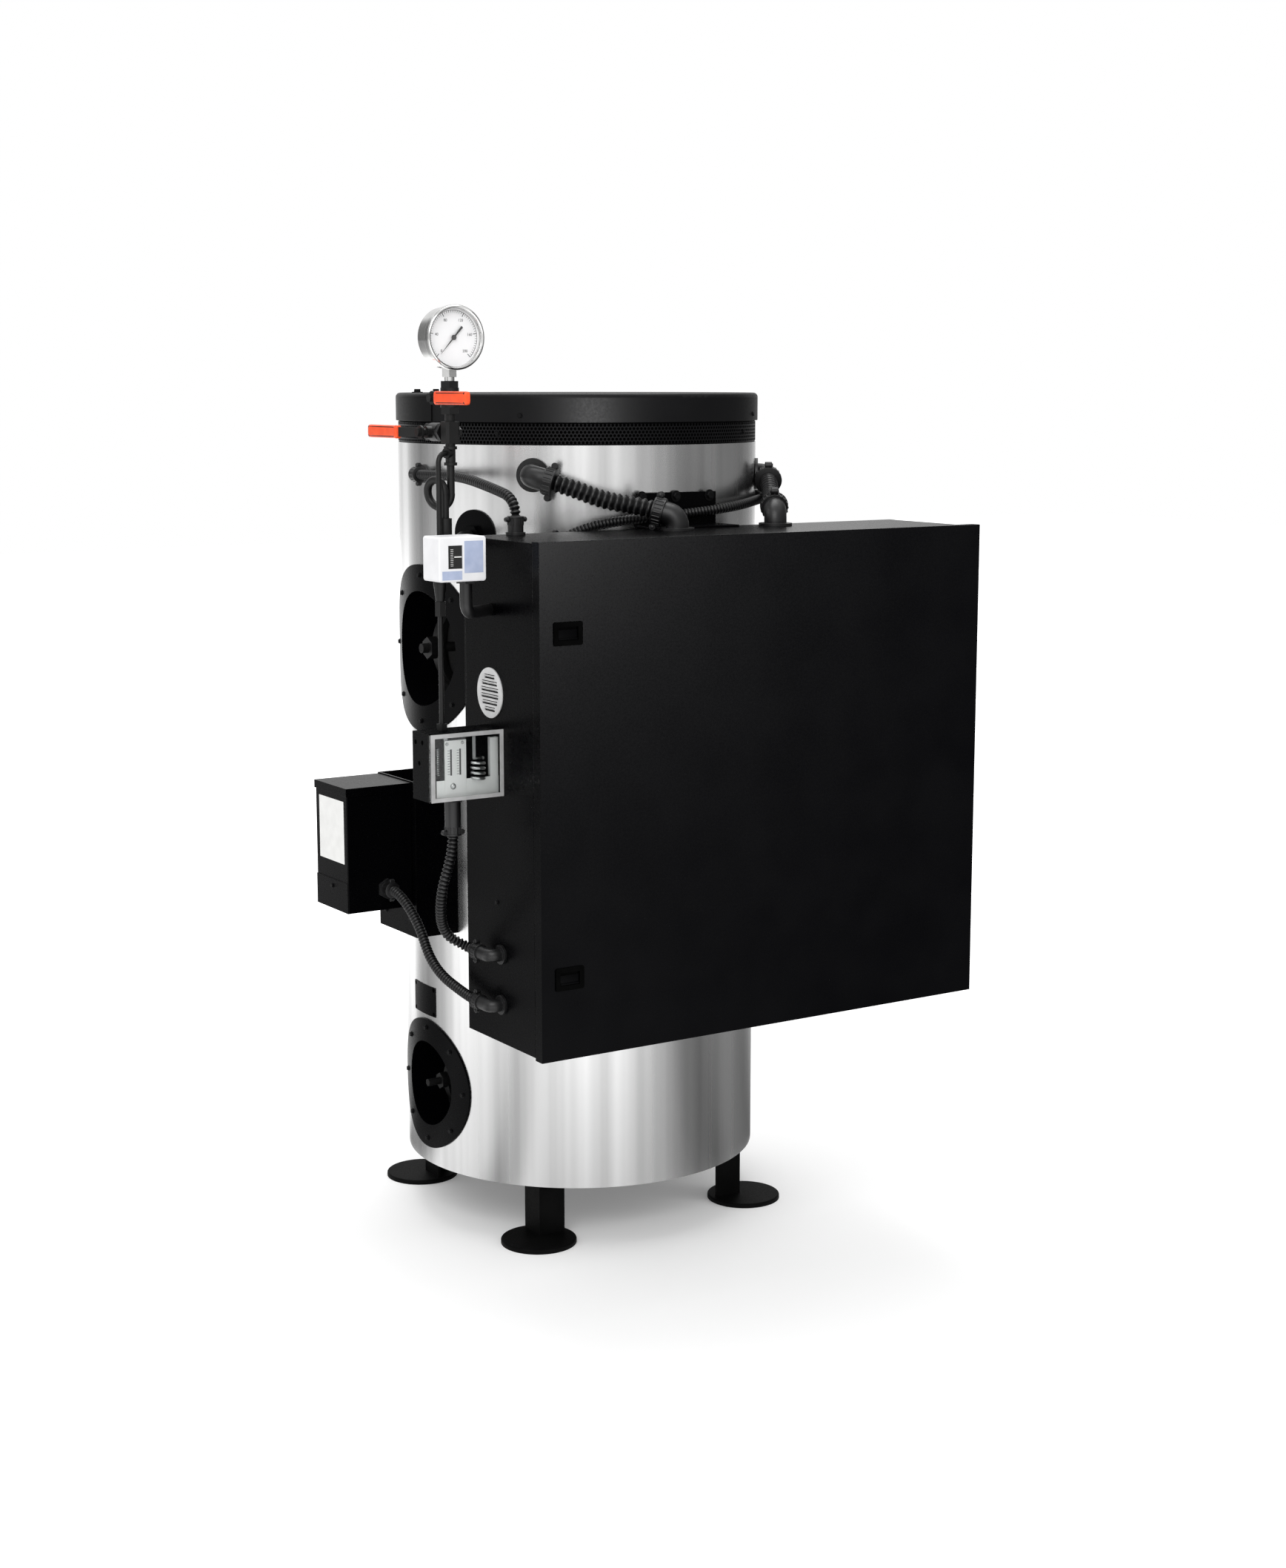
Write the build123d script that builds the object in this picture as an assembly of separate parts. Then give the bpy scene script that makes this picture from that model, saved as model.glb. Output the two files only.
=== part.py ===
from build123d import *
import math
import os

os.makedirs("parts", exist_ok=True)

# An upright packaged electric steam boiler on four legs. The origin lies on the floor under the
# casing's axis, +Z is up, the control cabinet faces -Y and the gauge tree stands on the -X side.

# Casing, base plate, vent band and lid
casing_radius = 280.0
casing_wall = 2.0
casing_bottom = 90.0
casing_top = 1219.0
base_plate_thickness = 6.0
band_setback = 1.5
band_wall = 2.0
band_height = 33.0
lid_height = 42.0
lid_overhang = 3.0
lid_wall = 2.5
lid_edge_radius = 7.0
lid_inner_radius = 1.5
fit_gap = 0.2
cut_overrun = 30.0

# Pressure vessel inside the casing
vessel_radius = 225.0
vessel_wall = 6.0
vessel_headroom = 40.0
vessel_head_rise = 56.0

# Legs of angle iron on round feet
leg_setback = 12.7136
leg_flange = 45.0
leg_thickness = 5.0
foot_outset = 4.0
foot_radius = 58.5
foot_thickness = 7.0
foot_edge_radius = 2.5

# Handholes on the -X side: places on the casing, flange and opening radii
upper_handhole_drop = 311.0
upper_flange_radius = 128.5
upper_opening_radius = 88.0
lower_handhole_rise = 130.0
lower_flange_radius = 103.5
lower_opening_radius = 67.0
flange_thickness = 3.0
sleeve_wall = 2.0
cover_thickness = 8.0
cover_lap = 8.0
door_oval_shares = (0.42, 0.54)
yoke_half_share = 0.78
yoke_rise_share = 0.36
yoke_width_share = 0.24
yoke_thickness_share = 0.13
stud_radius_share = 0.085
stud_length = 62.0
nut_size_share = 0.17
nut_height_share = 0.16

# Control cabinet, door, latches and hinges
cabinet_width = 753.4
cabinet_standoff = 34.5
cabinet_depth = 188.0
cabinet_drop = 119.4
cabinet_height = 704.2
sheet = 3.0
lip_width = 14.0
door_gap = 5.0
door_depth = 18.0
door_overhang = 2.5
door_sheet = 2.5
latch_width = 45.0
latch_height = 32.0
latch_inset = 44.0
latch_top_gap = 120.1
latch_bottom_gap = 111.6
latch_flange = 4.0
latch_flange_thickness = 2.0
latch_body_depth = 14.0
latch_corner_radius = 3.0
paddle_thickness = 1.5
hinge_radius = 5.0
hinge_knuckle = 26.0
hinge_knuckle_gap = 1.0
hinge_leaf = 2.0
hinge_clearance = 0.8
hinge_leaf_width = 20.0
hinge_pin_radius = 2.5
hinge_end_gap = 164.6

# Brackets that carry the cabinet on the casing
bracket_width = 140.0
bracket_rise = 50.0
bracket_seat = 30.0
bracket_sheet = 3.0

# Round louvred vent in the cabinet's -X side
vent_radius = 35.0
vent_centre_depth = 72.5
vent_drop = 211.6
vent_thickness = 1.5
vent_body_share = 0.86
vent_rows = 6
vent_pitch = 9.0
louvre_sheet = 1.2
louvre_width = 6.0
louvre_tilt = 35.0

# Gauge tree: a riser on a line of its own, with valves, cross, tee and siphon
tree_reach = 52.8
tree_depth = 63.5
gauge_rise = 75.0
gauge_radius = 43.0
gauge_bezel_depth = 9.0
gauge_case_radius = 40.5
gauge_front = 20.0
gauge_back = 12.5
gauge_wall = 2.0
dial_setback = 9.0
dial_thickness = 1.0
lens_thickness = 2.0
lens_setback = 1.5
pointer_length = 30.0
pointer_tail = 19.0
pointer_width = 3.0
pointer_thickness = 0.8
pointer_hub_radius = 3.5
pointer_angle = 228.0
gauge_stem_size = 9.5
gauge_stem_length = 11.5
shank_length = 5.2
upper_nipple_length = 9.8
cross_height = 29.0
cross_size = 21.0
tee_drop = 13.0
tee_leg = 16.5
nipple_radius = 6.85
collar_radius = 9.0
collar_height = 4.0

# Ball valves, both alike: half length, body, stem, lever and grip
valve_half = 22.0
valve_ball_radius = 12.5
valve_end_size = 11.5
valve_end_length = 9.0
stem_radius = 5.0
stem_reach = 24.0
lever_gap = 0.5
lever_thickness = 3.0
lever_width = 13.0
lever_hub_radius = 9.0
lever_nut_size = 5.5
lever_nut_height = 5.0
lever_crank = 14.0
lever_crank_start = 12.0
grip_start = 38.0
grip_end = 123.0
grip_width = 17.0
grip_thickness = 9.0
grip_edge_radius = 3.0
test_valve_setback = 36.0

# Siphon coil and the steam inlet behind it
siphon_radius = 5.5
coil_radius = 18.5
coil_drop = 38.1
coil_pitch = 12.0
coil_turn = 71.0
coil_points = 12
siphon_lap = 3.0
siphon_tail = 32.4
inlet_tee_length = 24.5
inlet_leg = 16.5
inlet_tee_radius = 9.0
inlet_bend = 12.0

# Control tube from the tee to the pressure control, with a fitting behind the limit switch
tube_reach = 25.0
tube_advance = 12.0
tube_radius = 3.5
tube_bend = 14.0
fitting_radius = 9.0
fitting_setdown = 12.0
fitting_reach = 7.0
fitting_taper_length = 23.0
fitting_nut_height = 20.0
fitting_neck_radius = 6.0
tube_nut_radius = 7.0
tube_nut_height = 9.0

# Limit switch with its white case
switch_standoff = 35.9
switch_width = 71.4
switch_depth = 45.0
switch_drop = 108.0
switch_height = 60.0
switch_edge_radius = 4.0
switch_window_width = 21.4
switch_window_height = 31.0
switch_window_left = 13.8
switch_window_drop = 11.5
switch_window_depth = 1.5

# Pressure control: case, clear cover and works
control_width = 112.5
control_depth = 53.0
control_front = -422.5
control_gap = 11.0
control_height = 93.5
control_wall = 2.0
control_cover_depth = 8.0
control_window = 2.0
control_edge_radius = 3.0
works_plate = 2.0
works_gap = 3.0
works_plate_shares = (0.27, 0.62)
works_post_radius = 5.0

# Transformer box and the bracket that holds it on the casing
transformer_width = 106.0
transformer_depth = 108.0
transformer_bottom = 525.0
transformer_top = 715.0
transformer_centre_y = -18.5
transformer_cap_height = 12.0
transformer_cap_overhang = 1.5
transformer_cover_height = 46.0
transformer_cover_proud = 0.8
transformer_edge_radius = 1.5
holder_standoff = 59.0
holder_width = 123.0
holder_centre_y = -21.5
holder_bottom = 477.0
holder_top = 716.5
holder_sheet = 3.0

# Nameplate and the round cover on the casing
nameplate_left = 44.7
nameplate_right = -26.5
nameplate_bottom = 331.0
nameplate_top = 378.0
nameplate_thickness = 1.0
hole_cover_angle = -154.3
hole_cover_radius = 36.0
hole_cover_thickness = 3.0
hole_cover_nut_size = 12.0
hole_cover_nut_height = 9.0

# Conduits and their fittings
feed_diameter = 27.0
spiral_diameter = 15.0
elbow_radius_share = 0.62
elbow_flange_share = 0.92
elbow_flange_thickness = 4.0
elbow_collar_share = 0.74
elbow_collar_length = 16.0
elbow_bend_share = 0.62
cord_bend_share = 0.45
cord_stub = 22.0

# Where the conduit fittings stand, how far they reach and how the conduits lie between them
feed_left_angle = -134.6
feed_left_drop = 43.0
feed_left_reach = 26.0
feed_right_angle = -36.0
feed_right_drop = 51.0
feed_right_reach = 18.0
feed_run = 40.0
feed_sag = 6.0
top_elbow_left_x = -58.0
top_elbow_left_setback = 57.5
top_elbow_right_x = 132.0
top_elbow_right_setback = 35.5
top_reach = 20.0
top_run = 36.0
rear_angle = -18.0
rear_drop = 83.0
rear_reach = 14.0
rear_run = 24.0
rear_bend_angles = (-36.6, -50.5, -71.1)
rear_bend_gaps = (15.2, 15.5, 28.6)
rear_bend_rises = (32.4, 32.4, 26.4)
rear_run_shares = (0.0, -0.1593, -0.2376)
rear_run_rises = (18.4, 11.4, 1.2)
rear_run_gap = 15.5
rear_end_x = -232.0
rear_end_drop = 21.6
rear_end_reach = 14.5
level_angle = -177.0
level_drop = 45.0
level_reach = 20.0
level_run = 24.0
level_end_x = -306.0
level_end_setback = 22.5
level_end_rise = 26.0
level_top_rise = 24.4
level_lift_shares = (0.438, 0.758)
level_lifts = (12.5, 7.2)
side_elbow_setback = 97.5
side_elbow_rises = (127.6, 55.6)
side_reach = 19.0
side_run = 42.0
control_exit_inset = 46.2
control_exit_setback = 26.5
control_exit_reach = 52.0
control_sway_shares = (0.426, 0.855)
control_sways_left = (33.1, 27.4)
control_sways_back = (-4.4, 20.0)
transformer_exit_inset = 43.8
transformer_exit_rise = 32.5
transformer_exit_reach = 20.0
transformer_sag_shares = (0.262, 0.582)
transformer_sags = (4.6, 23.5)
transformer_sways_left = (-2.2, 9.7)
switch_exit_inset = 52.7
switch_exit_setback = 24.0
switch_exit_radius = 8.5
switch_exit_bend = 14.0
switch_entry_setback = 32.0
switch_entry_drop = 45.0

# Places worked out from the sizes above
band_radius = casing_radius - band_setback
lid_bottom = casing_top + band_height
lid_top = lid_bottom + lid_height
lid_radius = casing_radius + lid_overhang
leg_corner = (casing_radius - leg_setback) / math.sqrt(2)
foot_centre = leg_corner + foot_outset
upper_handhole_height = casing_top - upper_handhole_drop
lower_handhole_height = casing_bottom + lower_handhole_rise
cabinet_back = -(casing_radius + cabinet_standoff)
cabinet_front = cabinet_back - cabinet_depth
cabinet_top = casing_top - cabinet_drop
cabinet_bottom = cabinet_top - cabinet_height
cabinet_side = cabinet_width / 2
tree_x = -cabinet_side - tree_reach
tree_y = cabinet_back - tree_depth
tube_x = tree_x - tube_reach
tube_y = tree_y - tube_advance
switch_right = -cabinet_side - switch_standoff
switch_left = switch_right - switch_width
door_back = cabinet_front - door_gap
door_front = door_back - door_depth
door_side = cabinet_side + door_overhang
hinge_x = door_side + hinge_radius + hinge_clearance
hinge_y = door_back
hinge_heights = (cabinet_bottom + hinge_end_gap, cabinet_top - hinge_end_gap)
latch_heights = (cabinet_top - latch_top_gap, cabinet_bottom + latch_bottom_gap)
vent_centre_height = cabinet_top - vent_drop
control_right = -cabinet_side
control_left = control_right - control_width
control_back = control_front + control_depth
control_top = vent_centre_height - vent_radius - control_gap
control_bottom = control_top - control_height
gauge_centre_height = lid_top + gauge_rise
gauge_stem_bottom = gauge_centre_height - gauge_case_radius - gauge_stem_length
valve_top = gauge_stem_bottom - shank_length
gauge_valve_height = valve_top - valve_half
valve_bottom = gauge_valve_height - valve_half
cross_top = valve_bottom - upper_nipple_length
cross_bottom = cross_top - cross_height
test_valve_height = (cross_top + cross_bottom) / 2
tee_height = cross_bottom - tee_drop
tee_bottom = tee_height - tee_leg
coil_height = tee_bottom - coil_drop
inlet_tee_top = coil_height - siphon_tail
inlet_tee_bottom = inlet_tee_top - inlet_tee_length
hole_cover_height = inlet_tee_bottom - inlet_leg
switch_top = tee_height - switch_drop
switch_bottom = switch_top - switch_height
fitting_top = switch_top - fitting_setdown
fitting_taper_top = switch_bottom - fitting_reach
fitting_taper_bottom = fitting_taper_top - fitting_taper_length
fitting_bottom = fitting_taper_bottom - fitting_nut_height
switch_back = tube_y - fitting_radius
switch_front = switch_back - switch_depth
holder_x = -casing_radius - holder_standoff
transformer_outer = holder_x - transformer_depth
up = Vector(0, 0, 1)
down = Vector(0, 0, -1)
left = Vector(-1, 0, 0)
front = Vector(0, -1, 0)
back = Vector(0, 1, 0)


def block(x_low, x_high, y_low, y_high, z_low, z_high):
    size = Box(x_high - x_low, y_high - y_low, z_high - z_low)
    return Pos((x_low + x_high) / 2, (y_low + y_high) / 2, (z_low + z_high) / 2) * size


def rod(start, end, radius):
    run = Vector(end) - Vector(start)
    return extrude(Plane(start, z_dir=run) * Circle(radius), run.length)


def cone(start, end, start_radius, end_radius):
    run = Vector(end) - Vector(start)
    middle = Plane((Vector(start) + Vector(end)) / 2, z_dir=run)
    return middle * Cone(start_radius, end_radius, run.length)


def hexagon(start, end, half_width):
    run = Vector(end) - Vector(start)
    return extrude(Plane(start, z_dir=run) * RegularPolygon(half_width, 6, major_radius=False), run.length)


def upright(radius, low, high, x=0, y=0):
    return rod((x, y, low), (x, y, high), radius)


def on_casing(angle, height, radius=casing_radius):
    turn = math.radians(angle)
    return Vector(radius * math.cos(turn), radius * math.sin(turn), height)


def outward(angle):
    return on_casing(angle, 0, 1)


casing_core = upright(casing_radius, -cut_overrun, lid_top + cut_overrun)


def skin(thickness):
    return upright(casing_radius + thickness, -cut_overrun, lid_top + cut_overrun) - casing_core


def pipe(points, radius, bend):
    route = FilletPolyline(*points, radius=bend)
    return sweep(Plane(route @ 0, z_dir=route % 0) * Circle(radius), route)


def bend_radii(points):
    runs = [Vector(b) - Vector(a) for a, b in zip(points, points[1:])]
    radii = []
    for before, after in zip(runs, runs[1:]):
        half_turn = math.radians(before.get_angle(after)) / 2
        radii.append(cord_bend_share * min(before.length, after.length) / math.tan(half_turn))
    return radii


def cord(points, diameter):
    return pipe(points, diameter / 2, bend_radii(points))


def elbow(base, out, mouth, size, reach, run):
    radius = size * elbow_radius_share
    out = Vector(out).normalized()
    mouth = Vector(mouth).normalized()
    corner = Vector(base) + out * reach
    end = corner + mouth * run
    body = pipe([base, corner, end], radius, size * elbow_bend_share)
    flange = rod(base, Vector(base) + out * elbow_flange_thickness, size * elbow_flange_share)
    collar = rod(end - mouth * elbow_collar_length, end, size * elbow_collar_share)
    return body + flange + collar, end


def save(name, shape):
    export_step(shape, f"parts/{name}.step")


# Casing and what closes it
def make_casing():
    shell = upright(casing_radius, casing_bottom, casing_top)
    shell -= upright(casing_radius - casing_wall, casing_bottom - cut_overrun, casing_top + cut_overrun)
    for height, opening in ((upper_handhole_height, upper_opening_radius),
                            (lower_handhole_height, lower_opening_radius)):
        shell -= rod((0, 0, height), (-casing_radius - cut_overrun, 0, height),
                     opening + sleeve_wall + fit_gap)
    return shell


def make_base_plate():
    return upright(casing_radius - casing_wall - fit_gap, casing_bottom,
                   casing_bottom + base_plate_thickness)


def make_vent_band():
    outer = upright(band_radius, casing_top, lid_top - lid_wall)
    return outer - upright(band_radius - band_wall, casing_top - cut_overrun, lid_top)


def make_lid():
    cap = upright(lid_radius, lid_bottom, lid_top)
    cap = fillet(cap.edges().group_by(Axis.Z)[-1], lid_edge_radius)
    hollow = upright(lid_radius - lid_wall, lid_bottom - cut_overrun, lid_top - lid_wall)
    hollow = fillet(hollow.edges().group_by(Axis.Z)[-1], lid_inner_radius)
    return cap - hollow


def vessel_body(radius, low, high, rise):
    body = upright(radius, low, high)
    dome = Pos(0, 0, high) * scale(Sphere(radius), by=(1, 1, rise / radius))
    return body + dome


def handhole_oval(height, opening, lap):
    half_width, half_height = (opening * share + lap for share in door_oval_shares)
    plane = Plane((0, 0, height), x_dir=(0, 1, 0), z_dir=(-1, 0, 0))
    return extrude(plane * Ellipse(half_width, half_height), casing_radius)


def make_vessel():
    low = casing_bottom + base_plate_thickness
    high = casing_top - vessel_headroom - vessel_head_rise
    body = vessel_body(vessel_radius, low, high, vessel_head_rise)
    inner = vessel_radius - vessel_wall
    body -= vessel_body(inner, low + vessel_wall, high, vessel_head_rise - vessel_wall)
    for height, opening in ((upper_handhole_height, upper_opening_radius),
                            (lower_handhole_height, lower_opening_radius)):
        body -= handhole_oval(height, opening, 0)
    return body


# Legs: an angle with its corner outward, standing on a round foot
def make_leg(side_x, side_y):
    foot = upright(foot_radius, 0, foot_thickness)
    foot = fillet(foot.edges().group_by(Axis.Z)[-1], foot_edge_radius)
    angle = block(-leg_flange, 0, -leg_thickness, 0, foot_thickness, casing_bottom)
    angle += block(-leg_thickness, 0, -leg_flange, 0, foot_thickness, casing_bottom)
    offset = leg_corner - foot_centre
    leg = Pos(foot_centre, foot_centre, 0) * (foot + Pos(offset, offset, 0) * angle)
    if side_x < 0:
        leg = mirror(leg, Plane.YZ)
    if side_y < 0:
        leg = mirror(leg, Plane.XZ)
    return leg


# Handholes: a flanged sleeve through the jacket, an oval cover inside the vessel and its yoke
def make_collar(height, flange_radius, opening):
    centre = (0, 0, height)
    tip = (-casing_radius - cut_overrun, 0, height)
    flange = skin(flange_thickness) & rod(centre, tip, flange_radius)
    sleeve = rod(centre, tip, opening + sleeve_wall)
    sleeve &= upright(casing_radius + flange_thickness, casing_bottom, casing_top)
    sleeve -= upright(vessel_radius, casing_bottom, casing_top)
    return flange + sleeve - rod(centre, tip, opening)


def make_cover(height, opening):
    inner = vessel_radius - vessel_wall
    plate = upright(inner, casing_bottom, casing_top) - upright(inner - cover_thickness, casing_bottom,
                                                                casing_top)
    plate &= handhole_oval(height, opening, cover_lap)
    start = (-inner + cover_thickness / 2, 0, height)
    return plate + rod(start, (-inner - stud_length, 0, height), opening * stud_radius_share)


def make_yoke(height, opening):
    half = opening * yoke_half_share
    rise = opening * yoke_rise_share
    bar = opening * yoke_thickness_share
    plane = Plane((0, 0, height), x_dir=(-1, 0, 0), z_dir=(0, 1, 0))
    foot_line = vessel_radius - vessel_wall
    outer = ThreePointArc((foot_line, -half), (vessel_radius + rise, 0), (foot_line, half))
    inner_half = half - bar
    inner = ThreePointArc((foot_line, -inner_half), (vessel_radius + rise - bar, 0), (foot_line, inner_half))
    ends = Line(outer @ 0, inner @ 0) + Line(outer @ 1, inner @ 1)
    arch = extrude(plane * make_face(outer + inner + ends), opening * yoke_width_share / 2, both=True)
    seat = (bar / 2 - vessel_radius - rise, 0, height)
    top = (-vessel_radius - rise - opening * nut_height_share, 0, height)
    yoke = arch + hexagon(seat, top, opening * nut_size_share)
    yoke -= upright(vessel_radius, casing_bottom, casing_top)
    tip = (-vessel_radius - rise - cut_overrun, 0, height)
    return yoke - rod((0, 0, height), tip, opening * stud_radius_share + fit_gap)


# Cabinet: five sheets with a lip around the doorway
def cabinet_wall(x_low, x_high, z_low, z_high, lip):
    wall = block(x_low, x_high, cabinet_front, cabinet_back - sheet, z_low, z_high)
    return wall + block(*lip[:2], cabinet_front, cabinet_front + sheet, *lip[2:])


def make_cabinet():
    inner = cabinet_side - sheet
    low = cabinet_bottom + sheet
    high = cabinet_top - sheet
    rear = block(-cabinet_side, cabinet_side, cabinet_back - sheet, cabinet_back, cabinet_bottom,
                 cabinet_top)
    lip_high = inner - lip_width
    walls = {
        "cabinet_back": rear,
        "cabinet_left": cabinet_wall(-cabinet_side, -inner, cabinet_bottom, cabinet_top,
                                     (-cabinet_side, -lip_high, low, high)),
        "cabinet_right": cabinet_wall(inner, cabinet_side, cabinet_bottom, cabinet_top,
                                      (lip_high, cabinet_side, low, high)),
        "cabinet_top": cabinet_wall(-inner, inner, high, cabinet_top,
                                    (-lip_high, lip_high, high - lip_width, cabinet_top)),
        "cabinet_bottom": cabinet_wall(-inner, inner, cabinet_bottom, low,
                                       (-lip_high, lip_high, cabinet_bottom, low + lip_width)),
    }
    return walls


def latch_centre(height):
    return Vector(-door_side + latch_inset, door_front, height)


def make_door():
    low = cabinet_bottom - door_overhang
    high = cabinet_top + door_overhang
    pan = block(-door_side, door_side, door_front, door_back, low, high)
    pan -= block(-door_side + door_sheet, door_side - door_sheet, door_front + door_sheet,
                 door_back + cut_overrun, low + door_sheet, high - door_sheet)
    half_width = latch_width / 2 - latch_flange + fit_gap
    half_height = latch_height / 2 - latch_flange + fit_gap
    for height in latch_heights:
        at = latch_centre(height)
        pan -= block(at.X - half_width, at.X + half_width, door_front - cut_overrun,
                     door_front + door_sheet + fit_gap, height - half_height, height + half_height)
    for height in hinge_heights:
        low_end = height + hinge_knuckle_gap / 2
        knuckle = upright(hinge_radius, low_end, low_end + hinge_knuckle, hinge_x, hinge_y)
        leaf = block(door_side, door_side + hinge_leaf, hinge_y - hinge_leaf_width / 2, hinge_y,
                     low_end, low_end + hinge_knuckle)
        bore = upright(hinge_pin_radius + fit_gap, low_end - cut_overrun,
                       low_end + hinge_knuckle + cut_overrun,
                       hinge_x, hinge_y)
        pan += knuckle + leaf - bore
    return pan


def make_hinges():
    halves = []
    for height in hinge_heights:
        high_end = height - hinge_knuckle_gap / 2
        knuckle = upright(hinge_radius, high_end - hinge_knuckle, high_end, hinge_x, hinge_y)
        leaf = block(cabinet_side, cabinet_side + hinge_leaf, cabinet_front,
                     cabinet_front + hinge_leaf_width,
                     high_end - hinge_knuckle, high_end)
        web = block(cabinet_side, hinge_x, hinge_y + hinge_radius / 2, cabinet_front + hinge_leaf,
                    high_end - hinge_knuckle, high_end)
        pin = upright(hinge_pin_radius, high_end, high_end + hinge_knuckle, hinge_x, hinge_y)
        halves.append(knuckle + leaf + web + pin)
    return Compound(children=halves)


def make_latches():
    latches = []
    for height in latch_heights:
        at = latch_centre(height)
        face = Plane(at, x_dir=(1, 0, 0), z_dir=(0, -1, 0))
        flange = extrude(face * RectangleRounded(latch_width, latch_height, latch_corner_radius),
                         latch_flange_thickness)
        body = Plane(face.origin, x_dir=(1, 0, 0), z_dir=(0, 1, 0)) * Rectangle(
            latch_width - 2 * latch_flange, latch_height - 2 * latch_flange)
        dish = Rectangle(latch_width - 2 * latch_flange - 2 * sheet,
                         latch_height - 2 * latch_flange - 2 * sheet)
        latch = flange + extrude(body, latch_body_depth)
        outer = face.offset(latch_flange_thickness)
        latch -= extrude(outer * dish, -latch_flange_thickness - paddle_thickness)
        latches.append(latch)
    return Compound(children=latches)


def make_brackets():
    pair = []
    for face, way in ((cabinet_top, 1), (cabinet_bottom, -1)):
        wall = block(-bracket_width / 2, bracket_width / 2, -casing_radius - bracket_sheet, -casing_radius,
                     min(face, face + way * bracket_rise), max(face, face + way * bracket_rise))
        shelf = block(-bracket_width / 2, bracket_width / 2, cabinet_back - bracket_seat, -casing_radius,
                      min(face, face + way * bracket_sheet), max(face, face + way * bracket_sheet))
        pair.append(wall + shelf)
    return Compound(children=pair)


def make_side_vent():
    centre = Vector(-cabinet_side, cabinet_back - vent_centre_depth, vent_centre_height)
    plate = rod(centre, centre + left * vent_thickness, vent_radius)
    half = vent_radius * vent_body_share
    vent = plate
    for row in range(vent_rows):
        height = (row - (vent_rows - 1) / 2) * vent_pitch
        half_width = math.sqrt(half * half - height * height) - louvre_width
        slot = block(-cut_overrun, cut_overrun, -half_width, half_width, -louvre_width / 2, louvre_width / 2)
        blade = Box(louvre_width, 2 * half_width, louvre_sheet)
        place = Pos(*(centre + up * height + left * vent_thickness / 2))
        vent -= place * slot
        vent += place * Rot(0, louvre_tilt, 0) * blade
    return vent & block(centre.X - cut_overrun, centre.X, centre.Y - vent_radius, centre.Y + vent_radius,
                        centre.Z - vent_radius, centre.Z + vent_radius)


# Pressure gauge, facing -Y
gauge_centre = Vector(tree_x, tree_y, gauge_centre_height)


def gauge_disc(radius, near, depth):
    start = gauge_centre + front * near
    return rod(start, start - front * depth, radius)


def make_gauge_case():
    case = gauge_disc(gauge_radius, gauge_front, gauge_bezel_depth)
    case += gauge_disc(gauge_case_radius, gauge_front - gauge_bezel_depth,
                       gauge_front - gauge_bezel_depth + gauge_back)
    case -= gauge_disc(gauge_case_radius - gauge_wall, gauge_front, gauge_front + gauge_back - gauge_wall)
    stem_top = gauge_centre_height - gauge_case_radius + gauge_wall
    stem = hexagon((tree_x, tree_y, gauge_stem_bottom), (tree_x, tree_y, stem_top), gauge_stem_size)
    shank = upright(nipple_radius, valve_top, gauge_stem_bottom, tree_x, tree_y)
    return case + stem + shank


def make_dial():
    near = gauge_front - dial_setback
    dial = gauge_disc(gauge_case_radius - gauge_wall, near, dial_thickness)
    return dial + gauge_disc(pointer_hub_radius / 2, near, -dial_thickness - pointer_thickness)


def make_lens():
    return gauge_disc(gauge_case_radius - gauge_wall, gauge_front - lens_setback, lens_thickness)


def make_pointer():
    near = gauge_front - dial_setback + dial_thickness + pointer_thickness
    hand = gauge_disc(pointer_hub_radius, near + pointer_thickness, pointer_thickness)
    plane = Plane(gauge_centre + front * near, x_dir=(1, 0, 0), z_dir=(0, -1, 0))
    blade = Polyline((-pointer_tail, -pointer_width / 2), (pointer_length, 0),
                     (-pointer_tail, pointer_width / 2),
                     close=True)
    hand += extrude(plane * Rot(0, 0, pointer_angle) * make_face(blade), pointer_thickness)
    return hand


# Ball valves: modelled with the run along Z and the stem toward -X
def valve_body():
    body = Sphere(valve_ball_radius)
    body += upright(valve_ball_radius, valve_end_length - valve_half, valve_half - valve_end_length)
    for way in (up, down):
        body += hexagon(way * (valve_half - valve_end_length), way * valve_half, valve_end_size)
    body += rod((0, 0, 0), left * stem_reach, stem_radius)
    return body + rod((0, 0, 0), left * (stem_reach + valve_ball_radius) / 2,
                      stem_radius + fitting_neck_radius / 2)


def valve_lever():
    inner = -stem_reach - lever_gap
    tip = grip_end - grip_thickness
    near_edge = [(inner, 0), (inner, lever_crank_start), (inner - lever_crank, grip_start),
                 (inner - lever_crank, tip)]
    far_edge = [(x - lever_thickness, z) for x, z in reversed(near_edge)]
    strip = extrude(Plane.XZ * make_face(Polyline(*near_edge, *far_edge, close=True)), lever_width / 2,
                    both=True)
    middle = inner - lever_crank - lever_thickness / 2
    grip = block(middle - grip_thickness / 2, middle + grip_thickness / 2, -grip_width / 2, grip_width / 2,
                 grip_start, grip_end)
    grip = fillet(grip.edges(), grip_edge_radius)
    outer = inner - lever_thickness
    hub = rod((inner, 0, 0), (outer, 0, 0), lever_hub_radius)
    nut = hexagon((outer, 0, 0), (outer - lever_nut_height, 0, 0), lever_nut_size)
    return hub + strip + grip + nut


gauge_valve_place = Pos(tree_x, tree_y, gauge_valve_height)
test_valve_place = Pos(tree_x, tree_y + test_valve_setback, test_valve_height)


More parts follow.
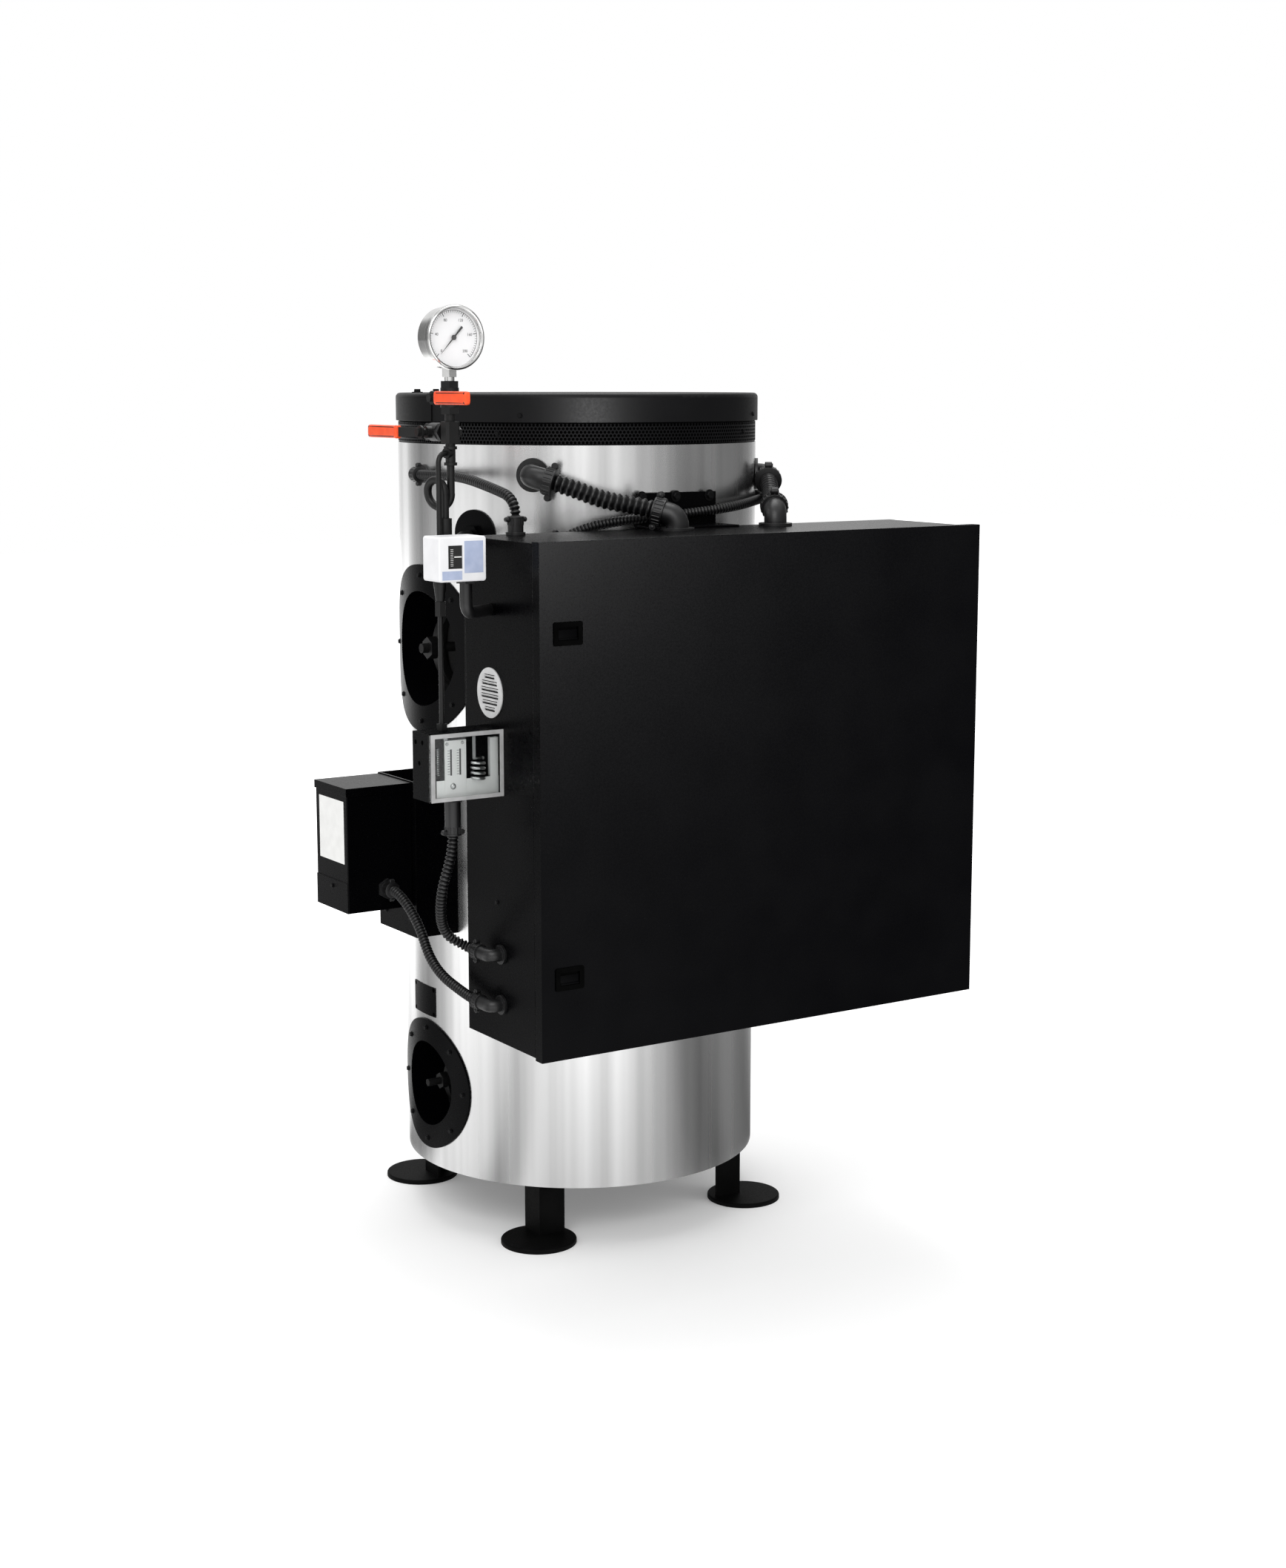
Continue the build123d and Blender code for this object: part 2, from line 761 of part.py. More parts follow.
# Cross, nipple and tee between the gauge valve and the siphon
def make_cross():
    middle = (cross_top + cross_bottom) / 2
    half = cross_size / 2
    body = block(tree_x - half, tree_x + half, tree_y - half, tree_y + half, cross_bottom, cross_top)
    body = chamfer(body.edges().filter_by(Axis.Z), half / 3)
    test_end = tree_y + test_valve_setback - valve_half
    body += rod((tree_x, tree_y, test_valve_height), (tree_x, test_end, test_valve_height), nipple_radius)
    body += upright(nipple_radius, cross_top, valve_bottom, tree_x, tree_y)
    body += hexagon((tree_x, tree_y, middle), (tree_x + half + collar_height, tree_y, middle), nipple_radius)
    body += upright(nipple_radius, tee_bottom, cross_bottom, tree_x, tree_y)
    for low in (cross_bottom - 2 * collar_height, tee_bottom):
        body += upright(collar_radius, low, low + collar_height, tree_x, tree_y)
    branch = Vector(tube_x - tree_x, tube_y - tree_y, 0).normalized()
    start = Vector(tree_x, tree_y, tee_height)
    body += rod(start, start + branch * half, nipple_radius)
    return body


def make_siphon():
    turn = math.radians(coil_turn)
    bulge = Vector(-math.cos(turn), math.sin(turn), 0)
    shift = Vector(-math.sin(turn), -math.cos(turn), 0)
    start = Vector(tree_x, tree_y, coil_height)
    route = []
    for step in range(coil_points + 1):
        part = step / coil_points
        angle = -2 * math.pi * part
        ease = part * part * (3 - 2 * part)
        reach = coil_radius * (1 - math.cos(angle))
        route.append(start + bulge * reach + shift * coil_pitch * ease + up * coil_radius * math.sin(angle))
    siphon = sweep(Plane(route[0], z_dir=(0, 0, -1)) * Circle(siphon_radius), Spline(*route))
    end = route[-1]
    siphon += rod((tree_x, tree_y, tee_bottom), start + down * siphon_lap, siphon_radius - fit_gap)
    siphon += rod(end + up * siphon_lap, (end.X, end.Y, inlet_tee_top), siphon_radius - fit_gap)
    return siphon, end


siphon, siphon_end = make_siphon()


def make_steam_inlet():
    x, y = siphon_end.X, siphon_end.Y
    end = on_casing(hole_cover_angle, hole_cover_height,
                    casing_radius + hole_cover_thickness + hole_cover_nut_height)
    entry = end + outward(hole_cover_angle) * cord_stub
    inlet = pipe([(x, y, inlet_tee_bottom), (x, y, hole_cover_height), entry, end], siphon_radius,
                 inlet_bend)
    return inlet + upright(inlet_tee_radius, inlet_tee_bottom, inlet_tee_top, x, y)


def make_control_tube():
    branch = Vector(tube_x - tree_x, tube_y - tree_y, 0).normalized()
    start = Vector(tree_x, tree_y, tee_height) + branch * cross_size / 2
    corner = (tube_x, tube_y, tee_height)
    tube = pipe([start, corner, (tube_x, tube_y, control_top)], tube_radius, tube_bend)
    tube += upright(fitting_radius, fitting_taper_top, fitting_top, tube_x, tube_y)
    tube += cone((tube_x, tube_y, fitting_taper_bottom), (tube_x, tube_y, fitting_taper_top),
                 fitting_neck_radius, fitting_radius)
    tube += hexagon((tube_x, tube_y, fitting_bottom), (tube_x, tube_y, fitting_taper_bottom),
                    tube_nut_radius)
    tube += hexagon((tube_x, tube_y, control_top), (tube_x, tube_y, control_top + tube_nut_height),
                    tube_nut_radius)
    boss_height = (fitting_taper_top + fitting_top) / 2
    tube += rod((tube_x, tube_y, boss_height), (tube_x, switch_back, boss_height), fitting_neck_radius)
    return tube


def make_limit_switch():
    case = block(switch_left, switch_right, switch_front, switch_back, switch_bottom, switch_top)
    case = fillet(case.edges().filter_by(Axis.Y), switch_edge_radius)
    case = fillet(case.edges().group_by(Axis.Y)[0], switch_edge_radius / 2)
    window_left = switch_left + switch_window_left
    window_top = switch_top - switch_window_drop
    return case - block(window_left, window_left + switch_window_width, switch_front - cut_overrun,
                        switch_front + switch_window_depth, window_top - switch_window_height, window_top)


# Pressure control: an open case with a clear cover over its works
def control_box(inset, near, far):
    return block(control_left + inset, control_right - inset, near, far,
                 control_bottom + inset, control_top - inset)


def make_control_case():
    case = control_box(0, control_front + control_cover_depth, control_back)
    return case - control_box(control_wall, control_front - cut_overrun, control_back - control_wall)


def make_control_cover():
    cover = control_box(0, control_front, control_front + control_cover_depth)
    cover = fillet(cover.edges().group_by(Axis.Y)[0], control_edge_radius)
    cover -= control_box(control_wall, control_front + control_window, control_front + cut_overrun)
    return cover


def make_control_works():
    near = control_front + control_cover_depth + works_gap
    low = control_bottom + control_wall
    high = control_top - control_wall
    inner_left = control_left + control_wall
    inner_width = control_width - 2 * control_wall
    plate_left, plate_right = (inner_left + inner_width * share for share in works_plate_shares)
    plate = block(plate_left, plate_right, near, near + works_plate, low, high)
    plate += block(inner_left, control_right - control_wall, near, near + works_plate, low,
                   low + inner_width / 4)
    foot = Vector((plate_left + plate_right) / 2, near, (low + high) / 2)
    plate += rod(foot, foot + back * (control_back - control_wall - near), works_post_radius)
    return plate


# Transformer box on its standoff bracket
def make_transformer():
    half = transformer_width / 2
    low_y, high_y = transformer_centre_y - half, transformer_centre_y + half
    seam = transformer_bottom + transformer_cover_height
    body = block(transformer_outer, holder_x, low_y, high_y, transformer_bottom, transformer_top)
    body = fillet(body.edges().filter_by(Axis.Z), transformer_edge_radius)
    lap = transformer_cap_overhang
    body += block(transformer_outer - lap, holder_x, low_y - lap, high_y + lap,
                  transformer_top - transformer_cap_height, transformer_top)
    lap = transformer_cover_proud
    return body + block(transformer_outer - lap, transformer_outer, low_y, high_y, transformer_bottom, seam)


def make_transformer_bracket():
    low_y = holder_centre_y - holder_width / 2
    high_y = holder_centre_y + holder_width / 2
    channel = block(holder_x, -vessel_radius, low_y, high_y, holder_bottom, holder_top)
    channel -= block(holder_x + holder_sheet, 0, low_y + holder_sheet, high_y - holder_sheet,
                     holder_bottom - cut_overrun, holder_top + cut_overrun)
    return channel - casing_core


def make_nameplate():
    plate = skin(nameplate_thickness + fit_gap) - skin(fit_gap)
    return plate & block(-casing_radius - cut_overrun, 0, nameplate_right, nameplate_left,
                         nameplate_bottom, nameplate_top)


def make_hole_cover():
    centre = on_casing(hole_cover_angle, hole_cover_height, 0)
    way = outward(hole_cover_angle)
    plate = skin(hole_cover_thickness) & rod(centre, centre + way * (casing_radius + cut_overrun),
                                             hole_cover_radius)
    seat = centre + way * (casing_radius + hole_cover_thickness / 2)
    top = centre + way * (casing_radius + hole_cover_thickness + hole_cover_nut_height)
    return plate + hexagon(seat, top, hole_cover_nut_size)


def toward(start, end):
    return (Vector(end) - Vector(start)).normalized()


# A place part of the way from start to end, moved sideways from the straight line
def between(start, end, share, shift):
    return start + (end - start) * share + shift


def feed_pair(angle, height, reach, base):
    hub = on_casing(angle, height, casing_radius + reach)
    way = toward(hub, base + up * top_reach)
    upper, start = elbow(on_casing(angle, height), outward(angle), way, feed_diameter, reach, feed_run)
    lower, stop = elbow(base, up, way * -1, feed_diameter, top_reach, top_run)
    middle = (start + stop) / 2 + down * feed_sag
    return upper, lower, [start, start + way * cord_stub, middle, stop - way * cord_stub, stop]


top_elbow_left = Vector(top_elbow_left_x, cabinet_back - top_elbow_left_setback, cabinet_top)
top_elbow_right = Vector(top_elbow_right_x, cabinet_back - top_elbow_right_setback, cabinet_top)
feed_left_upper, feed_left_lower, feed_left_route = feed_pair(
    feed_left_angle, casing_top - feed_left_drop, feed_left_reach, top_elbow_left)
feed_right_upper, feed_right_lower, feed_right_route = feed_pair(
    feed_right_angle, casing_top - feed_right_drop, feed_right_reach, top_elbow_right)

rear_way = outward(rear_angle - 90)
rear_upper, rear_start = elbow(on_casing(rear_angle, casing_top - rear_drop), outward(rear_angle), rear_way,
                               spiral_diameter, rear_reach, rear_run)
rear_route = [rear_start, rear_start + rear_way * cord_stub]
for angle, gap, rise in zip(rear_bend_angles, rear_bend_gaps, rear_bend_rises):
    rear_route.append(on_casing(angle, cabinet_top + rise, casing_radius + gap))
for share, rise in zip(rear_run_shares, rear_run_rises):
    rear_route.append(Vector(cabinet_width * share, cabinet_back + rear_run_gap, cabinet_top + rise))
rear_end = Vector(rear_end_x, cabinet_back, cabinet_top - rear_end_drop)
rear_corner = rear_end + back * rear_end_reach
rear_lower, rear_stop = elbow(rear_end, back, toward(rear_corner, rear_route[-1]), spiral_diameter,
                              rear_end_reach, rear_run)
rear_route.append(rear_stop)

level_upper, level_start = elbow(on_casing(level_angle, casing_top - level_drop), outward(level_angle),
                                 front,
                                 spiral_diameter, level_reach, level_run)
level_end = Vector(level_end_x, cabinet_back - level_end_setback, cabinet_top)
level_stop = level_end + up * level_end_rise
level_turn = level_stop + up * level_top_rise
level_route = [level_start, level_start + front * cord_stub]
for share, lift in zip(level_lift_shares, level_lifts):
    level_route.append(between(level_start, level_turn, share, up * lift))
level_route += [level_turn, level_stop]

side_elbow_y = cabinet_back - side_elbow_setback
side_elbows = [elbow((-cabinet_side, side_elbow_y, cabinet_bottom + rise), left, back, spiral_diameter,
                     side_reach, side_run) for rise in side_elbow_rises]
control_end, transformer_end = (mouth for fit, mouth in side_elbows)
control_exit = Vector(control_left + control_exit_inset, control_front + control_exit_setback,
                      control_bottom)
control_mouth = control_exit + down * control_exit_reach
control_route = [control_mouth, control_mouth + down * cord_stub]
for share, sway, swing in zip(control_sway_shares, control_sways_left, control_sways_back):
    control_route.append(between(control_route[1], control_end + back * cord_stub, share,
                                 left * sway + back * swing))
control_route += [control_end + back * cord_stub, control_end]

transformer_exit = Vector(holder_x - transformer_exit_inset, transformer_centre_y - transformer_width / 2,
                          transformer_bottom + transformer_exit_rise)
transformer_mouth = transformer_exit + front * transformer_exit_reach
transformer_route = [transformer_mouth, transformer_mouth + front * cord_stub]
for share, sway, sag in zip(transformer_sag_shares, transformer_sways_left, transformer_sags):
    transformer_route.append(between(transformer_route[1], transformer_end + back * cord_stub, share,
                                     left * sway + down * sag))
transformer_route += [transformer_end + back * cord_stub, transformer_end]
switch_exit = Vector(switch_left + switch_exit_inset, switch_front + switch_exit_setback, switch_bottom)
switch_entry = Vector(-cabinet_side, switch_exit.Y + switch_entry_setback, switch_bottom - switch_entry_drop)


def make_casing_connectors():
    fits = (feed_left_upper, feed_right_upper, rear_upper, level_upper)
    return Compound(children=[fit - casing_core for fit in fits])


def make_cabinet_connectors():
    level_fit = rod(level_end, level_stop, spiral_diameter * elbow_collar_share)
    level_fit += rod(level_end, level_end + up * elbow_flange_thickness,
                     spiral_diameter * elbow_flange_share)
    fits = [feed_left_lower, feed_right_lower, rear_lower, level_fit]
    return Compound(children=fits + [fit for fit, mouth in side_elbows])


def make_control_connector():
    fit = hexagon(control_exit, control_exit + down * elbow_flange_thickness,
                  spiral_diameter * elbow_flange_share)
    return fit + rod(control_exit, control_mouth, spiral_diameter * elbow_collar_share)


def make_transformer_connector():
    fit = rod(transformer_exit, transformer_mouth, spiral_diameter * elbow_collar_share)
    return fit + hexagon(transformer_exit, transformer_exit + front * elbow_flange_thickness,
                         spiral_diameter * elbow_flange_share)


def make_switch_connector():
    corner = Vector(switch_exit.X, switch_exit.Y, switch_entry.Z)
    fit = pipe([switch_exit, corner, switch_entry], switch_exit_radius, switch_exit_bend)
    fit += hexagon(switch_exit, switch_exit + down * elbow_flange_thickness,
                   switch_exit_radius + elbow_flange_thickness)
    return fit & block(switch_left, -cabinet_side, switch_front - cut_overrun, switch_back + cut_overrun,
                       switch_entry.Z - cut_overrun, switch_bottom)


cabinet_walls = make_cabinet()
pieces = {
    "casing": make_casing(),
    "base_plate": make_base_plate(),
    "pressure_vessel": make_vessel(),
    "vent_band": make_vent_band(),
    "lid": make_lid(),
    "leg_front_left": make_leg(-1, -1),
    "leg_front_right": make_leg(1, -1),
    "leg_back_left": make_leg(-1, 1),
    "leg_back_right": make_leg(1, 1),
    "upper_handhole_collar": make_collar(upper_handhole_height, upper_flange_radius, upper_opening_radius),
    "lower_handhole_collar": make_collar(lower_handhole_height, lower_flange_radius, lower_opening_radius),
    "upper_handhole_cover": make_cover(upper_handhole_height, upper_opening_radius),
    "lower_handhole_cover": make_cover(lower_handhole_height, lower_opening_radius),
    "upper_handhole_yoke": make_yoke(upper_handhole_height, upper_opening_radius),
    "lower_handhole_yoke": make_yoke(lower_handhole_height, lower_opening_radius),
    **cabinet_walls,
    "cabinet_door": make_door(),
    "door_hinges": make_hinges(),
    "door_latches": make_latches(),
    "cabinet_brackets": make_brackets(),
    "side_vent": make_side_vent(),
    "gauge_case": make_gauge_case(),
    "gauge_dial": make_dial(),
    "gauge_lens": make_lens(),
    "gauge_pointer": make_pointer(),
    "gauge_valve": gauge_valve_place * valve_body(),
    "gauge_valve_lever": gauge_valve_place * Rot(90, 0, 0) * valve_lever(),
    "test_valve": test_valve_place * Rot(-90, 0, 0) * valve_body(),
    "test_valve_lever": test_valve_place * Rot(-90, 0, 0) * valve_lever(),
    "gauge_cross": make_cross(),
    "siphon": siphon,
    "steam_inlet": make_steam_inlet(),
    "control_tube": make_control_tube(),
    "limit_switch": make_limit_switch(),
    "switch_connector": make_switch_connector(),
    "control_case": make_control_case(),
    "control_cover": make_control_cover(),
    "control_works": make_control_works(),
    "transformer": make_transformer(),
    "transformer_bracket": make_transformer_bracket(),
    "nameplate": make_nameplate(),
    "hole_cover": make_hole_cover(),
    "casing_connectors": make_casing_connectors(),
    "cabinet_connectors": make_cabinet_connectors(),
    "control_connector": make_control_connector(),
    "transformer_connector": make_transformer_connector(),
    "feed_conduit_left": cord(feed_left_route, feed_diameter),
    "feed_conduit_right": cord(feed_right_route, feed_diameter),
    "rear_conduit": cord(rear_route, spiral_diameter),
    "level_conduit": cord(level_route, spiral_diameter),
    "control_conduit": cord(control_route, spiral_diameter),
    "transformer_conduit": cord(transformer_route, spiral_diameter),
}

for name, shape in pieces.items():
    save(name, shape)
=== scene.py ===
import math
import bmesh
import bpy
from mathutils import Matrix, Vector


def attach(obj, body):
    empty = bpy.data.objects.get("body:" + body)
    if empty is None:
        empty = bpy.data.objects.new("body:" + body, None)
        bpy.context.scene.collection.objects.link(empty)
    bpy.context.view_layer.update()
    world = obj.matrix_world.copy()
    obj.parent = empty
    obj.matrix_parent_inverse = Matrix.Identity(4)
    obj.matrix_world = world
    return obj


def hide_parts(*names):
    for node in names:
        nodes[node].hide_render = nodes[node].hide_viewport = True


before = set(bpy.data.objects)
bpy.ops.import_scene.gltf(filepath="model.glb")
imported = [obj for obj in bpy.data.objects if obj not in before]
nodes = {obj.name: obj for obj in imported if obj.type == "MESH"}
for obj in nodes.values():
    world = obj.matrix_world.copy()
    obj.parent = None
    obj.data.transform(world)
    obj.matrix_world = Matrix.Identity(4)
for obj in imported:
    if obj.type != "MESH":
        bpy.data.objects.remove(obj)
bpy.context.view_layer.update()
scene = bpy.context.scene
scene.view_settings.view_transform = "Standard"
mm = 0.001
print("stage: frame loaded,", len(nodes), "nodes")


# sRGB hex to the linear values that sockets take
def linear(hexText):
    parts = [int(hexText[i:i + 2], 16) / 255 for i in (1, 3, 5)]
    return tuple(part / 12.92 if part <= 0.04045 else ((part + 0.055) / 1.055) ** 2.4 for part in parts) + (1.0,)


# one node with its settings, its values and its links
def addNode(tree, kind, inputs=None, **settings):
    node = tree.nodes.new(kind)
    for key, value in settings.items():
        setattr(node, key, value)
    for key, value in (inputs or {}).items():
        if isinstance(value, bpy.types.NodeSocket):
            tree.links.new(value, node.inputs[key])
        else:
            node.inputs[key].default_value = value
    return node


def placePiece(name, mesh, body):
    piece = bpy.data.objects.new(name, mesh)
    scene.collection.objects.link(piece)
    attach(piece, body)
    return piece


# camera, white studio and lights
cameraPlan = {"place": (-1.9904, -3.2770, 1.3115), "turn": (80.53, 0.0, -32.82), "lens": 55.44, "sensor": 36.0}
lens = bpy.data.cameras.new("photoCamera")
lens.lens = cameraPlan["lens"]
lens.sensor_width = cameraPlan["sensor"]
camera = bpy.data.objects.new("photoCamera", lens)
camera.location = cameraPlan["place"]
camera.rotation_euler = [math.radians(degrees) for degrees in cameraPlan["turn"]]
scene.collection.objects.link(camera)
scene.camera = camera

# the floor lights itself a little near the object and wholly beyond the fade, in metres from the middle
studioPlan = {"ambient": 0.80, "seen": 1.0, "floorSize": 30.0, "floorLift": 0.16, "floorColour": "#F4F4F4",
              "floorRoughness": 0.9, "fade": (1.1, 2.6)}


# 1 for what the camera, a mirror or a glass sees, 0 for the light that falls on surfaces
def addSeen(tree):
    path = addNode(tree, "ShaderNodeLightPath").outputs
    pair = addNode(tree, "ShaderNodeMath", {0: path["Is Camera Ray"], 1: path["Is Glossy Ray"]},
                   operation="MAXIMUM")
    every = addNode(tree, "ShaderNodeMath", {0: pair.outputs[0], 1: path["Is Transmission Ray"]},
                    operation="MAXIMUM")
    return every.outputs[0]


studio = bpy.data.worlds.new("whiteStudio")
studio.use_nodes = True
tree = studio.node_tree
level = addNode(tree, "ShaderNodeMapRange", {"Value": addSeen(tree), "To Min": studioPlan["ambient"],
                                             "To Max": studioPlan["seen"]})
tree.links.new(level.outputs[0], tree.nodes["Background"].inputs["Strength"])
tree.nodes["Background"].inputs["Color"].default_value = (1.0, 1.0, 1.0, 1.0)
scene.world = studio

floorFinish = bpy.data.materials.new("white studio floor")
floorFinish.use_nodes = True
tree = floorFinish.node_tree
shader = tree.nodes["Principled BSDF"]
shader.inputs["Base Color"].default_value = linear(studioPlan["floorColour"])
shader.inputs["Roughness"].default_value = studioPlan["floorRoughness"]
shader.inputs["Specular IOR Level"].default_value = 0.0
shader.inputs["Emission Color"].default_value = (1.0, 1.0, 1.0, 1.0)
spot = addNode(tree, "ShaderNodeTexCoord").outputs["Object"]
away = addNode(tree, "ShaderNodeVectorMath", {0: spot}, operation="LENGTH").outputs["Value"]
far = addNode(tree, "ShaderNodeMapRange", {"Value": away, "From Min": studioPlan["fade"][0],
                                           "From Max": studioPlan["fade"][1], "To Min": studioPlan["floorLift"]})
lift = addNode(tree, "ShaderNodeMath", {0: addSeen(tree), 1: far.outputs[0]}, operation="MULTIPLY")
tree.links.new(lift.outputs[0], shader.inputs["Emission Strength"])


def stageSheet(name, corners, faces, finish):
    mesh = bpy.data.meshes.new(name)
    mesh.from_pydata(corners, [], faces)
    mesh.materials.append(finish)
    sheet = bpy.data.objects.new(name, mesh)
    scene.collection.objects.link(sheet)
    return sheet


half = studioPlan["floorSize"] / 2
stageSheet("studioFloor", [(-half, -half, 0), (half, -half, 0), (half, half, 0), (-half, half, 0)], [(0, 1, 2, 3)],
           floorFinish)

# dark cloths beside the set and on the floor, which only polished and satin surfaces see;
# each has pairs of its direction in degrees and how densely it covers there
clothPlan = {"colour": "#0A0A0A", "distance": 3.2, "height": 3.6, "near": 0.42, "lift": 0.002,
             "right": ((-108.0, 0.0), (-90.0, 0.3), (-72.0, 0.6), (-60.0, 0.82), (-48.0, 0.88), (-30.0, 0.80),
                       (0.0, 0.86), (20.0, 0.7), (45.0, 0.0)),
             "left": ((-176.0, 0.0), (-164.0, 0.6), (-156.0, 0.6), (-146.0, 0.0)),
             "back": ((104.0, 0.0), (116.0, 0.7), (128.0, 0.8), (140.0, 0.7), (156.0, 0.0))}
clothFinish = bpy.data.materials.new("black studio cloth")
clothFinish.use_nodes = True
tree = clothFinish.node_tree
shader = tree.nodes["Principled BSDF"]
shader.inputs["Base Color"].default_value = linear(clothPlan["colour"])
shader.inputs["Roughness"].default_value = 1.0
shader.inputs["Specular IOR Level"].default_value = 0.0
cover = addNode(tree, "ShaderNodeAttribute", attribute_name="cover")
clear = addNode(tree, "ShaderNodeBsdfTransparent")
gauze = addNode(tree, "ShaderNodeMixShader", {0: cover.outputs["Fac"], 1: clear.outputs[0], 2: shader.outputs[0]})
tree.links.new(gauze.outputs[0], tree.nodes["Material Output"].inputs["Surface"])
for name in ("right", "left", "back"):
    spots = []
    covers = []
    for degrees, cover in clothPlan[name]:
        way = Vector((math.cos(math.radians(degrees)), math.sin(math.radians(degrees)), 0.0))
        foot = way * clothPlan["distance"]
        low = Vector((0, 0, clothPlan["lift"]))
        spots += [way * clothPlan["near"] + low, foot + low, foot + Vector((0, 0, clothPlan["height"]))]
        covers += [cover] * 3
    faces = [(i + k, i + k + 1, i + k + 4, i + k + 3) for i in range(0, len(spots) - 3, 3) for k in (0, 1)]
    sheet = stageSheet(name + "Cloth", spots, faces, clothFinish)
    sheet.data.attributes.new("cover", "FLOAT", "POINT").data.foreach_set("value", covers)
    sheet.visible_camera = False
    sheet.visible_diffuse = False
    sheet.visible_shadow = False
    sheet.visible_transmission = False

lampPlan = {
    "keyBox": {"place": (-2.4, -2.6, 3.2), "aim": (0.0, -0.2, 0.7), "size": 2.4, "power": 62.0},
    "fillBox": {"place": (2.6, -3.0, 2.2), "aim": (0.0, -0.2, 0.7), "size": 2.0, "power": 16.0},
    "topBox": {"place": (0.2, 0.6, 3.6), "aim": (0.0, 0.0, 1.0), "size": 2.2, "power": 45.0},
    # two small boxes, flagged so that they only put the soft sheen on the black paint
    "doorSheen": {"place": (0.80, -3.30, 1.26), "aim": (-0.35, -0.52, 1.06), "size": 0.35, "power": 100.0,
                  "takers": ("cabinet_door", "door_latches")},
    "lidSheen": {"place": (-1.29, -3.04, 0.99), "aim": (0.0, 0.0, 1.26), "size": 0.5, "power": 100.0,
                 "takers": ("lid",)}}
for name, plan in lampPlan.items():
    lamp = bpy.data.lights.new(name, "AREA")
    lamp.energy = plan["power"]
    lamp.size = plan["size"]
    box = bpy.data.objects.new(name, lamp)
    box.location = plan["place"]
    way = Vector(plan["aim"]) - Vector(plan["place"])
    box.rotation_euler = way.to_track_quat("-Z", "Y").to_euler()
    scene.collection.objects.link(box)
    if "takers" in plan:
        takers = bpy.data.collections.new(name + "Takers")
        for node in plan["takers"]:
            takers.objects.link(nodes[node])
        box.light_linking.receiver_collection = takers
print("stage: studio")


# a finish from two shades, a fine grain and broad clouding, with softened edges
grainPlan = {"shadeStops": (0.32, 0.68), "roughStops": (0.3, 0.7), "grainDetail": 3.0, "grainRoughness": 0.6,
             "cloudDetail": 2.0, "bumpStrength": 0.6, "edgeSamples": 4}


def grainFinish(name, plan):
    finish = bpy.data.materials.new(name)
    finish.use_nodes = True
    tree = finish.node_tree
    shader = tree.nodes["Principled BSDF"]
    for key, value in plan.get("sockets", {}).items():
        shader.inputs[key].default_value = value
    place = addNode(tree, "ShaderNodeTexCoord").outputs["Object"]
    stretch = plan.get("stretch", (1.0, 1.0, 1.0))
    run = addNode(tree, "ShaderNodeMapping", {"Vector": place, "Scale": stretch})
    grain = addNode(tree, "ShaderNodeTexNoise", {"Vector": run.outputs[0], "Scale": 1 / (plan["grain"] * mm),
                                                 "Detail": grainPlan["grainDetail"],
                                                 "Roughness": grainPlan["grainRoughness"]})
    cloud = addNode(tree, "ShaderNodeTexNoise", {"Vector": run.outputs[0], "Scale": 1 / (plan["cloud"] * mm),
                                                 "Detail": grainPlan["cloudDetail"]})
    ramp = addNode(tree, "ShaderNodeValToRGB", {"Fac": cloud.outputs["Fac"]})
    for end, stop, shade in zip(ramp.color_ramp.elements, grainPlan["shadeStops"], plan["shades"]):
        end.position = stop
        end.color = linear(shade)
    tree.links.new(ramp.outputs["Color"], shader.inputs["Base Color"])
    low, high = grainPlan["roughStops"]
    rough = addNode(tree, "ShaderNodeMapRange", {"Value": grain.outputs["Fac"], "From Min": low, "From Max": high,
                                                 "To Min": plan["rough"][0], "To Max": plan["rough"][1]})
    tree.links.new(rough.outputs[0], shader.inputs["Roughness"])
    bump = addNode(tree, "ShaderNodeBump", {"Height": grain.outputs["Fac"], "Strength": grainPlan["bumpStrength"],
                                            "Distance": plan["height"] * mm})
    if plan.get("edge"):
        edge = addNode(tree, "ShaderNodeBevel", {"Radius": plan["edge"] * mm}, samples=grainPlan["edgeSamples"])
        tree.links.new(edge.outputs[0], bump.inputs["Normal"])
    tree.links.new(bump.outputs[0], shader.inputs["Normal"])
    return finish


